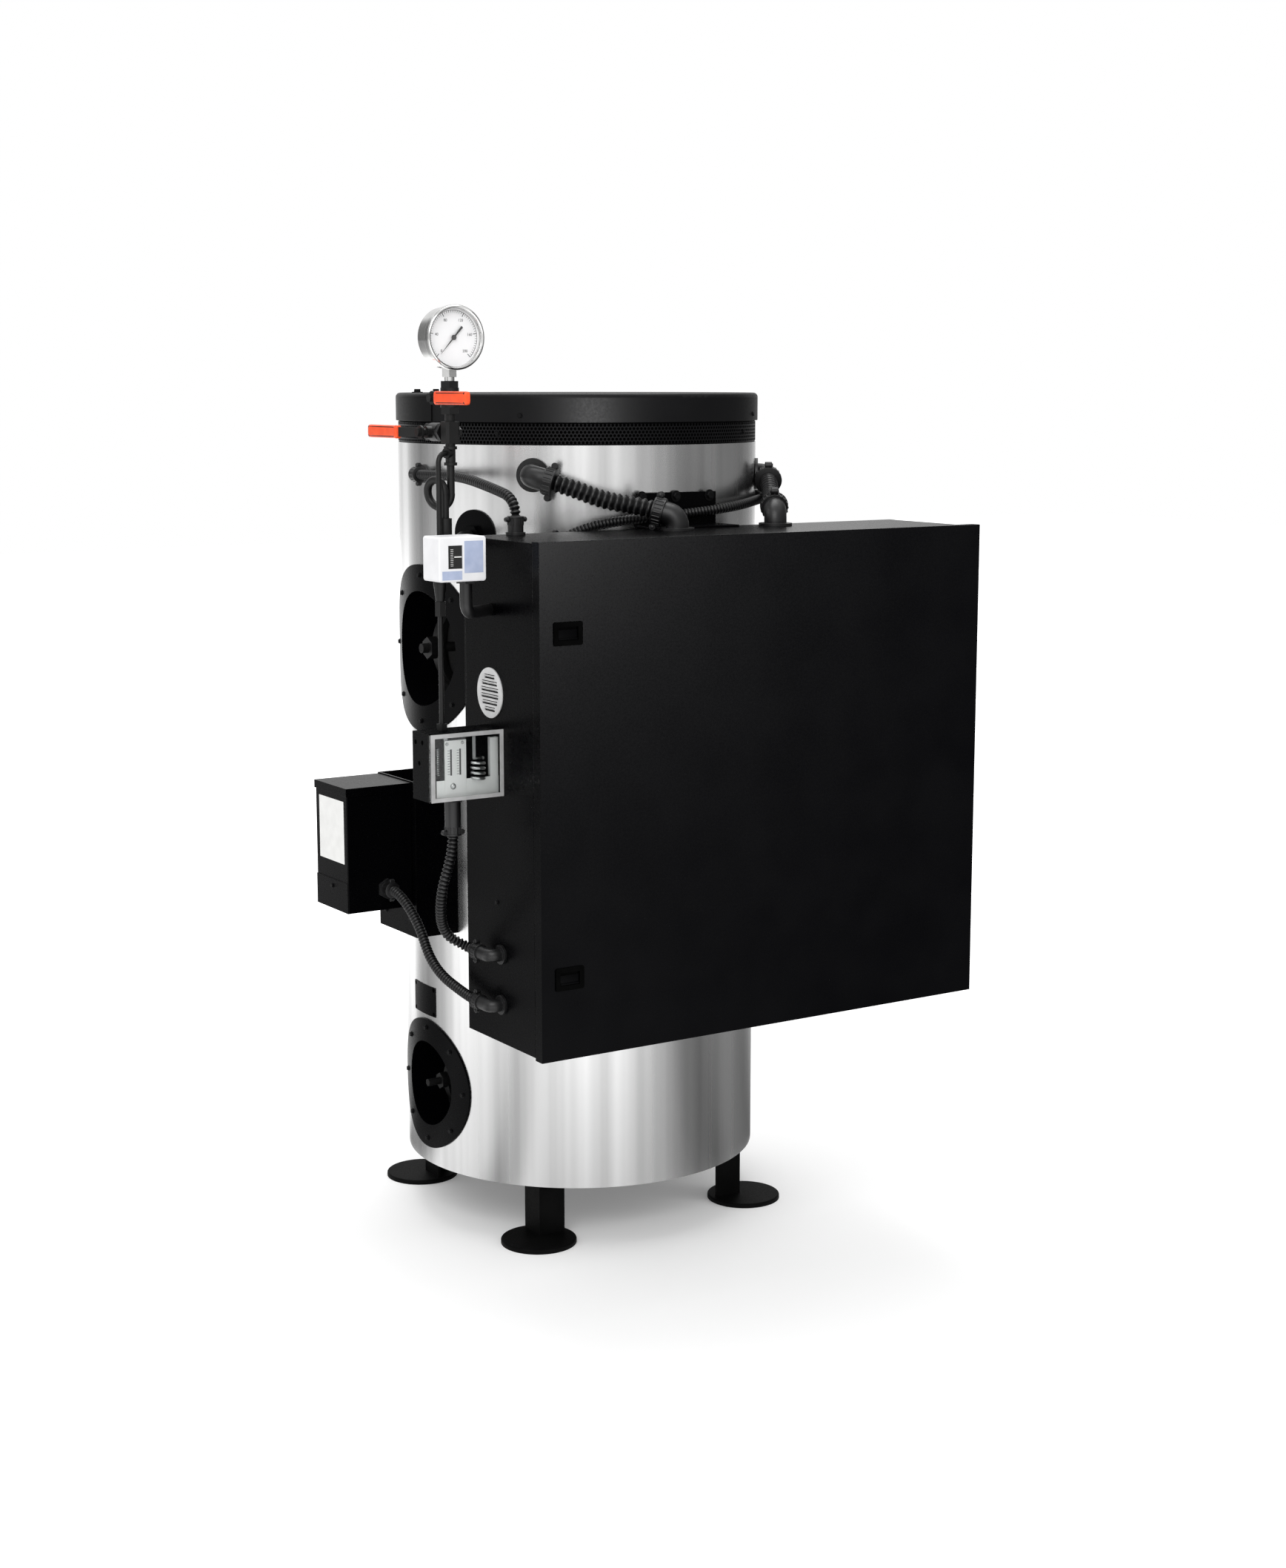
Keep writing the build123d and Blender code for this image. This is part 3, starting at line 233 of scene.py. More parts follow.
# grain, cloud, height and edge are in millimetres;
# grains are drawn two or three times coarser than life, so that they show
finishPlans = {
    # stainless sheet brushed upright and rolled: fine upright hairlines and soft upright bands
    "brushed stainless sheet": {"shades": ("#C0C0C0", "#E2E2E2"), "rough": (0.23, 0.28), "grain": 11.0,
                                "cloud": 40.0, "height": 0.03, "stretch": (1.0, 1.0, 0.0012),
                                "sockets": {"Metallic": 1.0}},
    # powder coat on folded steel: near black, satin, with a fine orange peel and soft edges
    "satin black powder coat": {"shades": ("#020203", "#040405"), "rough": (0.25, 0.32), "grain": 3.0,
                                "cloud": 90.0, "height": 0.008, "edge": 0.9,
                                "sockets": {"Specular IOR Level": 0.05}},
    # enamelled lid sheet, a shade greyer and smoother than the cabinet
    "black enamelled lid": {"shades": ("#050506", "#09090A"), "rough": (0.40, 0.48), "grain": 4.0, "cloud": 120.0,
                            "height": 0.02, "edge": 1.2, "sockets": {"Specular IOR Level": 0.12}},
    # brushed-on floor paint of the legs and feet: flat black with no shine
    "flat black leg paint": {"shades": ("#070707", "#0D0D0D"), "rough": (0.55, 0.70), "grain": 2.5, "cloud": 50.0,
                             "height": 0.05, "edge": 0.8, "sockets": {"Specular IOR Level": 0.06}},
    # stamped and punched vent sheet, a little greyer than the coat round it
    "punched black sheet": {"shades": ("#08080A", "#0E0E10"), "rough": (0.32, 0.42), "grain": 2.0, "cloud": 60.0,
                            "height": 0.01, "sockets": {"Specular IOR Level": 0.15}},
    # cast and rolled vessel iron under a matt heat paint: rough and very dark
    "matt black vessel iron": {"shades": ("#060606", "#0B0B0B"), "rough": (0.52, 0.68), "grain": 2.2, "cloud": 40.0,
                               "height": 0.12, "edge": 0.8, "sockets": {"Specular IOR Level": 0.25}},
    # closed-cell sponge rubber of the door gasket: dull black
    "black sponge rubber": {"shades": ("#060606", "#0B0B0B"), "rough": (0.52, 0.68), "grain": 2.2, "cloud": 40.0,
                            "height": 0.12, "edge": 0.8, "sockets": {"Specular IOR Level": 0.25}},
    # malleable iron pipe fittings, black oxide with a sandy cast skin
    "black malleable iron": {"shades": ("#060606", "#0D0D0D"), "rough": (0.36, 0.52), "grain": 1.4, "cloud": 22.0,
                             "height": 0.06, "edge": 0.5, "sockets": {"Specular IOR Level": 0.3}},
    # moulded nylon conduit fittings: black, with a fine spark-eroded texture
    "moulded black nylon": {"shades": ("#0C0C0D", "#141415"), "rough": (0.34, 0.46), "grain": 1.2, "cloud": 30.0,
                            "height": 0.03, "edge": 0.7, "sockets": {"Specular IOR Level": 0.45}},
    # extruded corrugated conduit: near black; its ridges catch the light, and its grooves get painted shade below
    "corrugated black conduit": {"shades": ("#070708", "#0F0F10"), "rough": (0.30, 0.42), "grain": 1.5,
                                 "cloud": 12.0, "height": 0.03},
    # spun and polished stainless of the gauge case: bright, with faint turning marks
    "polished stainless case": {"shades": ("#C9C9C8", "#DEDEDD"), "rough": (0.10, 0.18), "grain": 2.0,
                                "cloud": 30.0, "height": 0.005, "edge": 0.5, "sockets": {"Metallic": 1.0}},
    # painted aluminium dial: flat white
    "white enamelled dial": {"shades": ("#ECECED", "#F1F1F2"), "rough": (0.45, 0.55), "grain": 1.0, "cloud": 30.0,
                             "height": 0.002, "sockets": {"Specular IOR Level": 0.4}},
    # screen-printed ink: dense black, slightly dull
    "black printing ink": {"shades": ("#0B0B0B", "#121212"), "rough": (0.45, 0.55), "grain": 0.8, "cloud": 6.0,
                           "height": 0.002},
    # pressed and anodised aluminium of the louvred vent: pale and silky
    "satin anodised aluminium": {"shades": ("#D2D2D2", "#E2E2E2"), "rough": (0.32, 0.44), "grain": 1.0,
                                 "cloud": 20.0, "height": 0.01, "edge": 0.3, "sockets": {"Metallic": 0.35}},
    # dipped vinyl lever grips: bright orange, smooth, slightly waxy
    "dipped orange vinyl": {"shades": ("#EE4A1C", "#F8561F"), "rough": (0.34, 0.46), "grain": 1.6, "cloud": 14.0,
                            "height": 0.03, "sockets": {"Specular IOR Level": 0.45, "Subsurface Weight": 0.05}},
    # moulded ABS case of the limit switch: cool white, even
    "moulded white plastic": {"shades": ("#E6E6E8", "#EEEEF0"), "rough": (0.34, 0.44), "grain": 1.2, "cloud": 25.0,
                              "height": 0.01, "edge": 0.5},
    # printed film on the switch: pale blue grey
    "pale blue printed film": {"shades": ("#A3AFCB", "#B3BDD6"), "rough": (0.38, 0.48), "grain": 1.0, "cloud": 14.0,
                               "height": 0.004},
    # moulded frame of the clear cover: pale grey
    "pale grey plastic": {"shades": ("#A2A2A2", "#B8B8B8"), "rough": (0.36, 0.48), "grain": 1.2, "cloud": 18.0,
                          "height": 0.02, "edge": 0.4},
    # vinyl label stock: matt white
    "white label film": {"shades": ("#E9E9E7", "#F1F1EF"), "rough": (0.42, 0.52), "grain": 1.0, "cloud": 18.0,
                         "height": 0.004},
    # zinc-plated steel screws and springs: grey white, a little uneven
    "bright zinc plate": {"shades": ("#A6A7A6", "#C9CAC9"), "rough": (0.24, 0.40), "grain": 0.8, "cloud": 5.0,
                          "height": 0.01, "sockets": {"Metallic": 1.0}},
    # black oxide screws: dark, faintly oily
    "black oxide steel": {"shades": ("#0A0A0B", "#131314"), "rough": (0.34, 0.46), "grain": 0.8, "cloud": 6.0,
                          "height": 0.01, "sockets": {"Specular IOR Level": 0.1}},
    # blackened steel painted near black with no shine at all, as painted shade out of the light: behind the punched
    # sheet and the clear cover, latches, flush screws
    "shineless black steel and painted shade": {"shades": ("#030303", "#050505"), "rough": (0.6, 0.75), "grain": 2.0, "cloud": 30.0,
                          "height": 0.02, "sockets": {"Specular IOR Level": 0.0}},
}
finishes = {name: grainFinish(name, plan) for name, plan in finishPlans.items()}
# painted shade: a conduit's shine is turned down in its grooves, where shade falls, and kept on its ridges: the
# shine at the bottom and at the top of a ridge
shineWithPaintedGrooveShade = (0.02, 0.55)
tree = finishes["corrugated black conduit"].node_tree
ridge = addNode(tree, "ShaderNodeAttribute", attribute_name="ridge")
ridgeShineAndGrooveShade = addNode(tree, "ShaderNodeMapRange", {"Value": ridge.outputs["Fac"], "To Min": shineWithPaintedGrooveShade[0],
                                             "To Max": shineWithPaintedGrooveShade[1]})
tree.links.new(ridgeShineAndGrooveShade.outputs[0], tree.nodes["Principled BSDF"].inputs["Specular IOR Level"])


# clear sheet: polished gauge glass and the moulded cover, with a faint waviness in millimetres
wavePlan = {"length": 18.0, "height": 0.02, "strength": 0.3}


def clearFinish(name, colour, rough, ior):
    finish = bpy.data.materials.new(name)
    finish.use_nodes = True
    tree = finish.node_tree
    shader = tree.nodes["Principled BSDF"]
    shader.inputs["Base Color"].default_value = linear(colour)
    shader.inputs["Roughness"].default_value = rough
    shader.inputs["IOR"].default_value = ior
    shader.inputs["Transmission Weight"].default_value = 1.0
    place = addNode(tree, "ShaderNodeTexCoord").outputs["Object"]
    wave = addNode(tree, "ShaderNodeTexNoise", {"Vector": place, "Scale": 1 / (wavePlan["length"] * mm)})
    bump = addNode(tree, "ShaderNodeBump", {"Height": wave.outputs["Fac"], "Strength": wavePlan["strength"],
                                            "Distance": wavePlan["height"] * mm})
    tree.links.new(bump.outputs[0], shader.inputs["Normal"])
    return finish


finishes["polished gauge glass"] = clearFinish("polished gauge glass", "#FFFFFF", 0.0, 1.45)
finishes["clear moulded cover"] = clearFinish("clear moulded cover", "#F2F4F4", 0.04, 1.35)

dressing = {
    "brushed stainless sheet": ["casing"],
    "black enamelled lid": ["lid"],
    # painted shade: the band behind the punched sheet, the works behind the clear cover and the latches
    "shineless black steel and painted shade": ["vent_band", "control_works", "door_latches"],
    "flat black leg paint": ["base_plate", "leg_front_left", "leg_front_right", "leg_back_left", "leg_back_right"],
    "satin black powder coat": ["upper_handhole_collar", "lower_handhole_collar", "cabinet_back", "cabinet_left",
                                "cabinet_right", "cabinet_top", "cabinet_bottom", "cabinet_door", "door_hinges",
                                "cabinet_brackets", "transformer", "transformer_bracket", "nameplate", "hole_cover",
                                "control_case"],
    "matt black vessel iron": ["pressure_vessel", "upper_handhole_cover", "lower_handhole_cover"],
    "black malleable iron": ["gauge_valve", "test_valve", "gauge_cross", "siphon", "steam_inlet", "control_tube",
                             "gauge_valve_lever", "test_valve_lever", "upper_handhole_yoke", "lower_handhole_yoke"],
    "moulded black nylon": ["casing_connectors", "cabinet_connectors", "control_connector", "transformer_connector",
                            "switch_connector"],
    "corrugated black conduit": ["feed_conduit_left", "feed_conduit_right", "rear_conduit", "level_conduit",
                                 "control_conduit", "transformer_conduit"],
    "black printing ink": ["gauge_pointer"],
    "satin anodised aluminium": ["side_vent"],
    "polished stainless case": ["gauge_case"],
    "white enamelled dial": ["gauge_dial"],
    "polished gauge glass": ["gauge_lens"],
    "moulded white plastic": ["limit_switch"],
    "clear moulded cover": ["control_cover"],
}
for finishName, names in dressing.items():
    for name in names:
        if not nodes[name].material_slots:
            nodes[name].data.materials.append(finishes[finishName])
        for slot in nodes[name].material_slots:
            slot.material = finishes[finishName]
# the light reaches the dial through its glass
nodes["gauge_lens"].visible_shadow = False
nodes["gauge_lens"].visible_diffuse = False
print("stage: finishes")


# Geometry Nodes: a tree with named inputs, its end, and a piece grown from it
def startTree(name, sockets):
    tree = bpy.data.node_groups.new(name, "GeometryNodeTree")
    tree.interface.new_socket("Geometry", in_out="INPUT", socket_type="NodeSocketGeometry")
    for label, kind in sockets.items():
        tree.interface.new_socket(label, in_out="INPUT", socket_type="NodeSocket" + kind)
    tree.interface.new_socket("Finish", in_out="INPUT", socket_type="NodeSocketMaterial")
    tree.interface.new_socket("Geometry", in_out="OUTPUT", socket_type="NodeSocketGeometry")
    return tree, addNode(tree, "NodeGroupInput").outputs


def endTree(tree, geometry, given):
    real = addNode(tree, "GeometryNodeRealizeInstances", {"Geometry": geometry})
    dressed = addNode(tree, "GeometryNodeSetMaterial", {"Geometry": real.outputs[0], "Material": given["Finish"]})
    addNode(tree, "NodeGroupOutput", {"Geometry": dressed.outputs[0]})


def growMesh(source, tree, finishName, values):
    holder = bpy.data.objects.new("growing", source)
    scene.collection.objects.link(holder)
    modifier = holder.modifiers.new("grow", "NODES")
    modifier.node_group = tree
    values = {**values, "Finish": finishes[finishName]}
    for item in tree.interface.items_tree:
        if item.in_out == "INPUT" and item.name in values:
            modifier[item.identifier] = values[item.name]
    graph = bpy.context.evaluated_depsgraph_get()
    mesh = bpy.data.meshes.new_from_object(holder.evaluated_get(graph))
    holder.modifiers.remove(modifier)
    bpy.data.objects.remove(holder)
    return mesh


# loose points, each with the way it faces
def pointSource(spots):
    mesh = bpy.data.meshes.new("spots")
    mesh.from_pydata([Vector(place) * mm for place, way in spots], [], [])
    facing = mesh.attributes.new("outward", "FLOAT_VECTOR", "POINT")
    for row, (place, way) in zip(facing.data, spots):
        row.vector = Vector(way).normalized()
    return mesh


# the end of a tree that puts one shape on every point, turned the way the point faces
def endSpread(tree, shape, given):
    outward = addNode(tree, "GeometryNodeInputNamedAttribute", {"Name": "outward"}, data_type="FLOAT_VECTOR")
    facing = addNode(tree, "FunctionNodeAlignRotationToVector", {"Vector": outward.outputs[0]}, axis="Z")
    spread = addNode(tree, "GeometryNodeInstanceOnPoints", {"Points": given["Geometry"], "Instance": shape,
                                                            "Rotation": facing.outputs[0]})
    endTree(tree, spread.outputs[0], given)


# a shape raised along its own axis
def addRaised(tree, shape, height):
    offset = addNode(tree, "ShaderNodeCombineXYZ", {"Z": height})
    return addNode(tree, "GeometryNodeTransform", {"Geometry": shape, "Translation": offset.outputs[0]}).outputs[0]


# screws and bolts: a washer and a tapered head on each point
screwTree, given = startTree("screwTree", {"Head Radius": "Float", "Head Height": "Float", "Head Sides": "Int",
                                           "Washer Radius": "Float", "Washer Height": "Float"})
headTaper = 0.86
topRadius = addNode(screwTree, "ShaderNodeMath", {0: given["Head Radius"], 1: headTaper}, operation="MULTIPLY")
washer = addNode(screwTree, "GeometryNodeMeshCylinder", {"Vertices": 20, "Radius": given["Washer Radius"],
                                                         "Depth": given["Washer Height"]})
head = addNode(screwTree, "GeometryNodeMeshCone", {"Vertices": given["Head Sides"], "Depth": given["Head Height"],
                                                   "Radius Top": topRadius.outputs[0],
                                                   "Radius Bottom": given["Head Radius"]})
middle = addNode(screwTree, "ShaderNodeMath", {0: given["Washer Height"], 1: 0.5}, operation="MULTIPLY")
both = addNode(screwTree, "GeometryNodeJoinGeometry")
screwTree.links.new(addRaised(screwTree, washer.outputs[0], middle.outputs[0]), both.inputs[0])
screwTree.links.new(addRaised(screwTree, head.outputs[0], given["Washer Height"]), both.inputs[0])
endSpread(screwTree, both.outputs[0], given)

# marks: small bars, long way along their facing
markTree, given = startTree("markTree", {"Bar Width": "Float", "Bar Thickness": "Float", "Bar Length": "Float"})
size = addNode(markTree, "ShaderNodeCombineXYZ", {"X": given["Bar Width"], "Y": given["Bar Thickness"],
                                                  "Z": given["Bar Length"]})
bar = addNode(markTree, "GeometryNodeMeshCube", {"Size": size.outputs[0]})
endSpread(markTree, bar.outputs[0], given)

# grip ribs: round bars along the nut's axis
ribTree, given = startTree("ribTree", {"Rib Radius": "Float", "Rib Length": "Float"})
bar = addNode(ribTree, "GeometryNodeMeshCylinder", {"Vertices": 8, "Radius": given["Rib Radius"],
                                                    "Depth": given["Rib Length"]})
endSpread(ribTree, bar.outputs[0], given)

# springs: a round wire wound along the facing
springTree, given = startTree("springTree", {"Coil Radius": "Float", "Coil Length": "Float", "Turns": "Float",
                                             "Wire Radius": "Float"})
helix = addNode(springTree, "GeometryNodeCurveSpiral", {"Resolution": 20, "Rotations": given["Turns"],
                                                        "Start Radius": given["Coil Radius"],
                                                        "End Radius": given["Coil Radius"],
                                                        "Height": given["Coil Length"]})
wire = addNode(springTree, "GeometryNodeCurvePrimitiveCircle", {"Resolution": 8, "Radius": given["Wire Radius"]})
coil = addNode(springTree, "GeometryNodeCurveToMesh", {"Curve": helix.outputs[0], "Profile Curve": wire.outputs[0],
                                                       "Fill Caps": True})
endSpread(springTree, coil.outputs[0], given)

# corrugated conduit: a tube whose radius rises and falls along its length
tubeTree, given = startTree("tubeTree", {"Outer Radius": "Float", "Ridge Depth": "Float", "Pitch": "Float",
                                         "Sides": "Int"})
line = addNode(tubeTree, "GeometryNodeMeshToCurve", {"Mesh": given["Geometry"]})
stepsPerRidge = 6.0
step = addNode(tubeTree, "ShaderNodeMath", {0: given["Pitch"], 1: stepsPerRidge}, operation="DIVIDE")
fine = addNode(tubeTree, "GeometryNodeResampleCurve", {"Curve": line.outputs[0], "Length": step.outputs[0]},
               mode="LENGTH")
along = addNode(tubeTree, "GeometryNodeSplineParameter").outputs["Length"]
phase = addNode(tubeTree, "ShaderNodeMath", {0: along, 1: given["Pitch"]}, operation="DIVIDE")
angle = addNode(tubeTree, "ShaderNodeMath", {0: phase.outputs[0], 1: 2 * math.pi}, operation="MULTIPLY")
wave = addNode(tubeTree, "ShaderNodeMath", {0: angle.outputs[0]}, operation="COSINE")
sunk = addNode(tubeTree, "ShaderNodeMapRange", {"Value": wave.outputs[0], "From Min": -1.0, "From Max": 1.0,
                                                "To Min": 0.0, "To Max": given["Ridge Depth"]},
               interpolation_type="SMOOTHSTEP")
radius = addNode(tubeTree, "ShaderNodeMath", {0: given["Outer Radius"], 1: sunk.outputs[0]}, operation="SUBTRACT")
# how far up a ridge each point is, stored for the conduit's finish, which paints shade into the grooves with it
crest = addNode(tubeTree, "ShaderNodeMapRange", {"Value": wave.outputs[0], "From Min": -1.0, "From Max": 1.0,
                                                 "To Min": 1.0, "To Max": 0.0})
marked = addNode(tubeTree, "GeometryNodeStoreNamedAttribute", {"Geometry": fine.outputs[0], "Name": "ridge",
                                                               "Value": crest.outputs[0]},
                 data_type="FLOAT", domain="POINT")
ring = addNode(tubeTree, "GeometryNodeCurvePrimitiveCircle", {"Resolution": given["Sides"], "Radius": 1.0})
tube = addNode(tubeTree, "GeometryNodeCurveToMesh", {"Curve": marked.outputs[0], "Profile Curve": ring.outputs[0],
                                                     "Scale": radius.outputs[0], "Fill Caps": True})
soft = addNode(tubeTree, "GeometryNodeSetShadeSmooth", {"Geometry": tube.outputs[0]})
endTree(tubeTree, soft.outputs[0], given)

# punched band: one strip with rows of staggered holes, given its thickness and bent round the casing
bandTree, given = startTree("bandTree", {"Strip Length": "Float", "Strip Height": "Float", "Strip Base": "Float",
                                         "Band Radius": "Float", "Hole Radius": "Float", "Sheet": "Float"})
edge = addNode(bandTree, "GeometryNodeCurvePrimitiveQuadrilateral", {"Width": given["Strip Length"],
                                                                     "Height": given["Strip Height"]})
hole = addNode(bandTree, "GeometryNodeCurvePrimitiveCircle", {"Resolution": 8, "Radius": given["Hole Radius"]})
spread = addNode(bandTree, "GeometryNodeInstanceOnPoints", {"Points": given["Geometry"],
                                                            "Instance": hole.outputs[0]})
real = addNode(bandTree, "GeometryNodeRealizeInstances", {"Geometry": spread.outputs[0]})
cutOut = addNode(bandTree, "GeometryNodeJoinGeometry")
bandTree.links.new(edge.outputs[0], cutOut.inputs[0])
bandTree.links.new(real.outputs[0], cutOut.inputs[0])
flat = addNode(bandTree, "GeometryNodeFillCurve", {"Curve": cutOut.outputs[0]})
where = addNode(bandTree, "GeometryNodeInputPosition").outputs[0]
parts = addNode(bandTree, "ShaderNodeSeparateXYZ", {0: where}).outputs
turn = addNode(bandTree, "ShaderNodeMath", {0: parts["X"], 1: given["Band Radius"]}, operation="DIVIDE").outputs[0]
cosine = addNode(bandTree, "ShaderNodeMath", {0: turn}, operation="COSINE").outputs[0]
sine = addNode(bandTree, "ShaderNodeMath", {0: turn}, operation="SINE").outputs[0]
spotX = addNode(bandTree, "ShaderNodeMath", {0: sine, 1: given["Band Radius"]}, operation="MULTIPLY").outputs[0]
spotY = addNode(bandTree, "ShaderNodeMath", {0: cosine, 1: given["Band Radius"]}, operation="MULTIPLY").outputs[0]
backY = addNode(bandTree, "ShaderNodeMath", {0: spotY, 1: -1.0}, operation="MULTIPLY").outputs[0]
spotZ = addNode(bandTree, "ShaderNodeMath", {0: parts["Y"], 1: given["Strip Base"]}, operation="ADD").outputs[0]
bent = addNode(bandTree, "ShaderNodeCombineXYZ", {"X": spotX, "Y": backY, "Z": spotZ})
wrapped = addNode(bandTree, "GeometryNodeSetPosition", {"Geometry": flat.outputs[0], "Position": bent.outputs[0]})
thick = addNode(bandTree, "GeometryNodeExtrudeMesh", {"Mesh": wrapped.outputs[0], "Offset Scale": given["Sheet"],
                                                      "Individual": False})
inner = addNode(bandTree, "GeometryNodeFlipFaces", {"Mesh": wrapped.outputs[0]})
shell = addNode(bandTree, "GeometryNodeJoinGeometry")
bandTree.links.new(thick.outputs[0], shell.inputs[0])
bandTree.links.new(inner.outputs[0], shell.inputs[0])
closed = addNode(bandTree, "GeometryNodeMergeByDistance", {"Geometry": shell.outputs[0], "Distance": 0.02 * mm})
endTree(bandTree, closed.outputs[0], given)
print("stage: trees")

# conduits: the four spiral ones are flexible, the two short feed ones are stiff;
# a spiral one's ridges are 5 mm apart in life, and are drawn a little coarser so that they show
conduitPlan = {
    "spiral": {"diameter": 15.0, "pitch": 6.0, "depth": 2.3, "sides": 20},
    "feed": {"diameter": 27.0, "pitch": 9.4, "depth": 2.6, "sides": 28},
    "routes": {
        "rear_conduit": [(272.2, -113.7, 1136.0), (265.4, -134.6, 1136.0), (237.0, -176.0, 1132.0),
                         (188.0, -228.0, 1132.0), (100.0, -292.0, 1126.0), (0.0, -299.0, 1118.0),
                         (-120.0, -299.0, 1111.0), (-179.0, -299.0, 1100.8), (-210.0, -299.6, 1087.5)],
        "level_conduit": [(-299.6, -39.7, 1174.0), (-299.6, -61.7, 1174.0), (-302.4, -169.9, 1176.0),
                          (-304.4, -265.1, 1163.0), (-306.0, -337.0, 1150.0), (-306.0, -337.0, 1125.6)],
        "control_conduit": [(-443.0, -396.0, 696.5), (-443.0, -396.0, 674.5), (-456.0, -380.0, 610.0),
                            (-430.0, -335.0, 545.0), (-395.7, -348.0, 523.0), (-395.7, -370.0, 523.0)],
        "transformer_conduit": [(-382.8, -91.5, 557.5), (-382.8, -113.5, 557.5), (-384.0, -174.9, 525.0),
                                (-400.0, -250.0, 472.0), (-395.7, -348.0, 451.0), (-395.7, -370.0, 451.0)],
        "feed_conduit_left": [(-187.2, -245.0, 1166.1), (-172.0, -260.0, 1160.6), (-135.0, -296.3, 1141.3),
                              (-98.1, -332.6, 1134.0), (-82.9, -347.6, 1128.5)],
        "feed_conduit_right": [(220.5, -208.2, 1158.9), (209.1, -226.4, 1153.8), (185.5, -264.2, 1137.3),
                               (161.9, -302.1, 1132.9), (150.6, -320.3, 1127.8)]}}


# the smooth line of a route, read from its NURBS spline
def smoothLine(route):
    curve = bpy.data.curves.new("route", "CURVE")
    curve.dimensions = "3D"
    spline = curve.splines.new("NURBS")
    spline.points.add(len(route) - 1)
    for point, place in zip(spline.points, route):
        point.co = (*(Vector(place) * mm), 1.0)
    spline.order_u = 3
    spline.use_endpoint_u = True
    spline.resolution_u = 16
    holder = bpy.data.objects.new("route", curve)
    scene.collection.objects.link(holder)
    graph = bpy.context.evaluated_depsgraph_get()
    mesh = bpy.data.meshes.new_from_object(holder.evaluated_get(graph))
    bpy.data.objects.remove(holder)
    return mesh


# a piece that a tree grows: its lengths are in millimetres, its counts are not
def growPiece(name, source, tree, finishName, lengths, counts={}):
    given = {key: value * mm for key, value in lengths.items()} | counts
    return placePiece(name, growMesh(source, tree, finishName, given), "boiler")


for name, route in conduitPlan["routes"].items():
    kind = conduitPlan["feed" if name.startswith("feed") else "spiral"]
    line = smoothLine(route)
    path = [vertex.co.copy() for vertex in line.vertices]
    tube = growPiece(name + "_tube", line, tubeTree, "corrugated black conduit", {
        "Outer Radius": kind["diameter"] / 2, "Ridge Depth": kind["depth"], "Pitch": kind["pitch"]},
        {"Sides": kind["sides"]})
    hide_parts(name)
    if not name.startswith("feed"):
        reach = sum((after - before).length for before, after in zip(path, path[1:]))
        print("cord", name, round(reach, 4))
print("stage: conduits")


# mesh helpers: blocks, turned shapes and lofts of rings
def addBlock(shape, low, high):
    size = [top - bottom for bottom, top in zip(low, high)]
    middle = [(top + bottom) / 2 for bottom, top in zip(low, high)]
    place = Matrix.Translation(Vector(middle) * mm) @ Matrix.Diagonal((*[side * mm for side in size], 1))
    bmesh.ops.create_cube(shape, size=1, matrix=place)


# the four blocks of an upright frame
def frameBlocks(low, high, width):
    (left, front, bottom), (right, back, top) = low, high
    return [(low, (right, back, bottom + width)), ((left, front, top - width), high),
            ((left, front, bottom + width), (left + width, back, top - width)),
            ((right - width, front, bottom + width), (right, back, top - width))]


def addRings(shape, rings, looped=False):
    rows = [[shape.verts.new(Vector(spot) * mm) for spot in ring] for ring in rings]
    pairs = list(zip(rows, rows[1:])) + ([(rows[-1], rows[0])] if looped else [])
    for near, far in pairs:
        for i in range(len(near)):
            j = (i + 1) % len(near)
            shape.faces.new((near[i], near[j], far[j], far[i]))
    if not looped:
        shape.faces.new(rows[0])
        shape.faces.new(rows[-1])


# a turned shape: profile pairs of distance along the way and radius
def addTurned(shape, start, way, profile, sides=40, looped=False):
    way = Vector(way).normalized()
    across = way.orthogonal().normalized()
    up = way.cross(across)
    rings = []
    for along, radius in profile:
        centre = Vector(start) + way * along
        rings.append([centre + (across * math.cos(2 * math.pi * k / sides) + up * math.sin(2 * math.pi * k / sides))
                      * radius for k in range(sides)])
    addRings(shape, rings, looped)


# edges, by their angle: over "bevel" they are rounded off where a piece asks for it,
# under "smooth" they shade softly
edgePlan = {"bevel": 0.6, "segments": 2, "profile": 0.6, "smooth": math.radians(38)}


def closeShape(name, shape, finishName, body, edge=0.0):
    if edge:
        sharp = [line for line in shape.edges
                 if len(line.link_faces) == 2 and line.calc_face_angle(0) > edgePlan["bevel"]]
        bmesh.ops.bevel(shape, geom=sharp, offset=edge * mm, segments=edgePlan["segments"],
                        profile=edgePlan["profile"], affect="EDGES", clamp_overlap=True)
    bmesh.ops.recalc_face_normals(shape, faces=shape.faces[:])
    for face in shape.faces:
        face.smooth = True
    for line in shape.edges:
        line.smooth = len(line.link_faces) == 2 and line.calc_face_angle(0) < edgePlan["smooth"]
    mesh = bpy.data.meshes.new(name)
    shape.to_mesh(mesh)
    shape.free()
    mesh.materials.append(finishes[finishName])
    return placePiece(name, mesh, body)


def blockPiece(name, blocks, finishName, body="boiler", edge=0.0):
    shape = bmesh.new()
    for low, high in blocks:
        addBlock(shape, low, high)
    return closeShape(name, shape, finishName, body, edge)


def turnedPiece(name, start, profile, sides, finishName, looped=False):
    shape = bmesh.new()
    addTurned(shape, start, (0, -1, 0), profile, sides, looped)
    return closeShape(name, shape, finishName, "boiler")


# bars on points, for printed scales and slots
def barPiece(name, spots, finishName, bar):
    return growPiece(name, pointSource(spots), markTree, finishName, {
        "Bar Width": bar["width"], "Bar Thickness": bar["thickness"], "Bar Length": bar["length"]})


# the spot where a straight probe meets a CAD piece, and the way its surface faces there
def seatOn(name, start, way):
    hit, place, normal, face = nodes[name].ray_cast(Vector(start) * mm, Vector(way).normalized())
    if not hit:
        raise ValueError("no seat on " + name)
    return tuple(place / mm), tuple(normal)


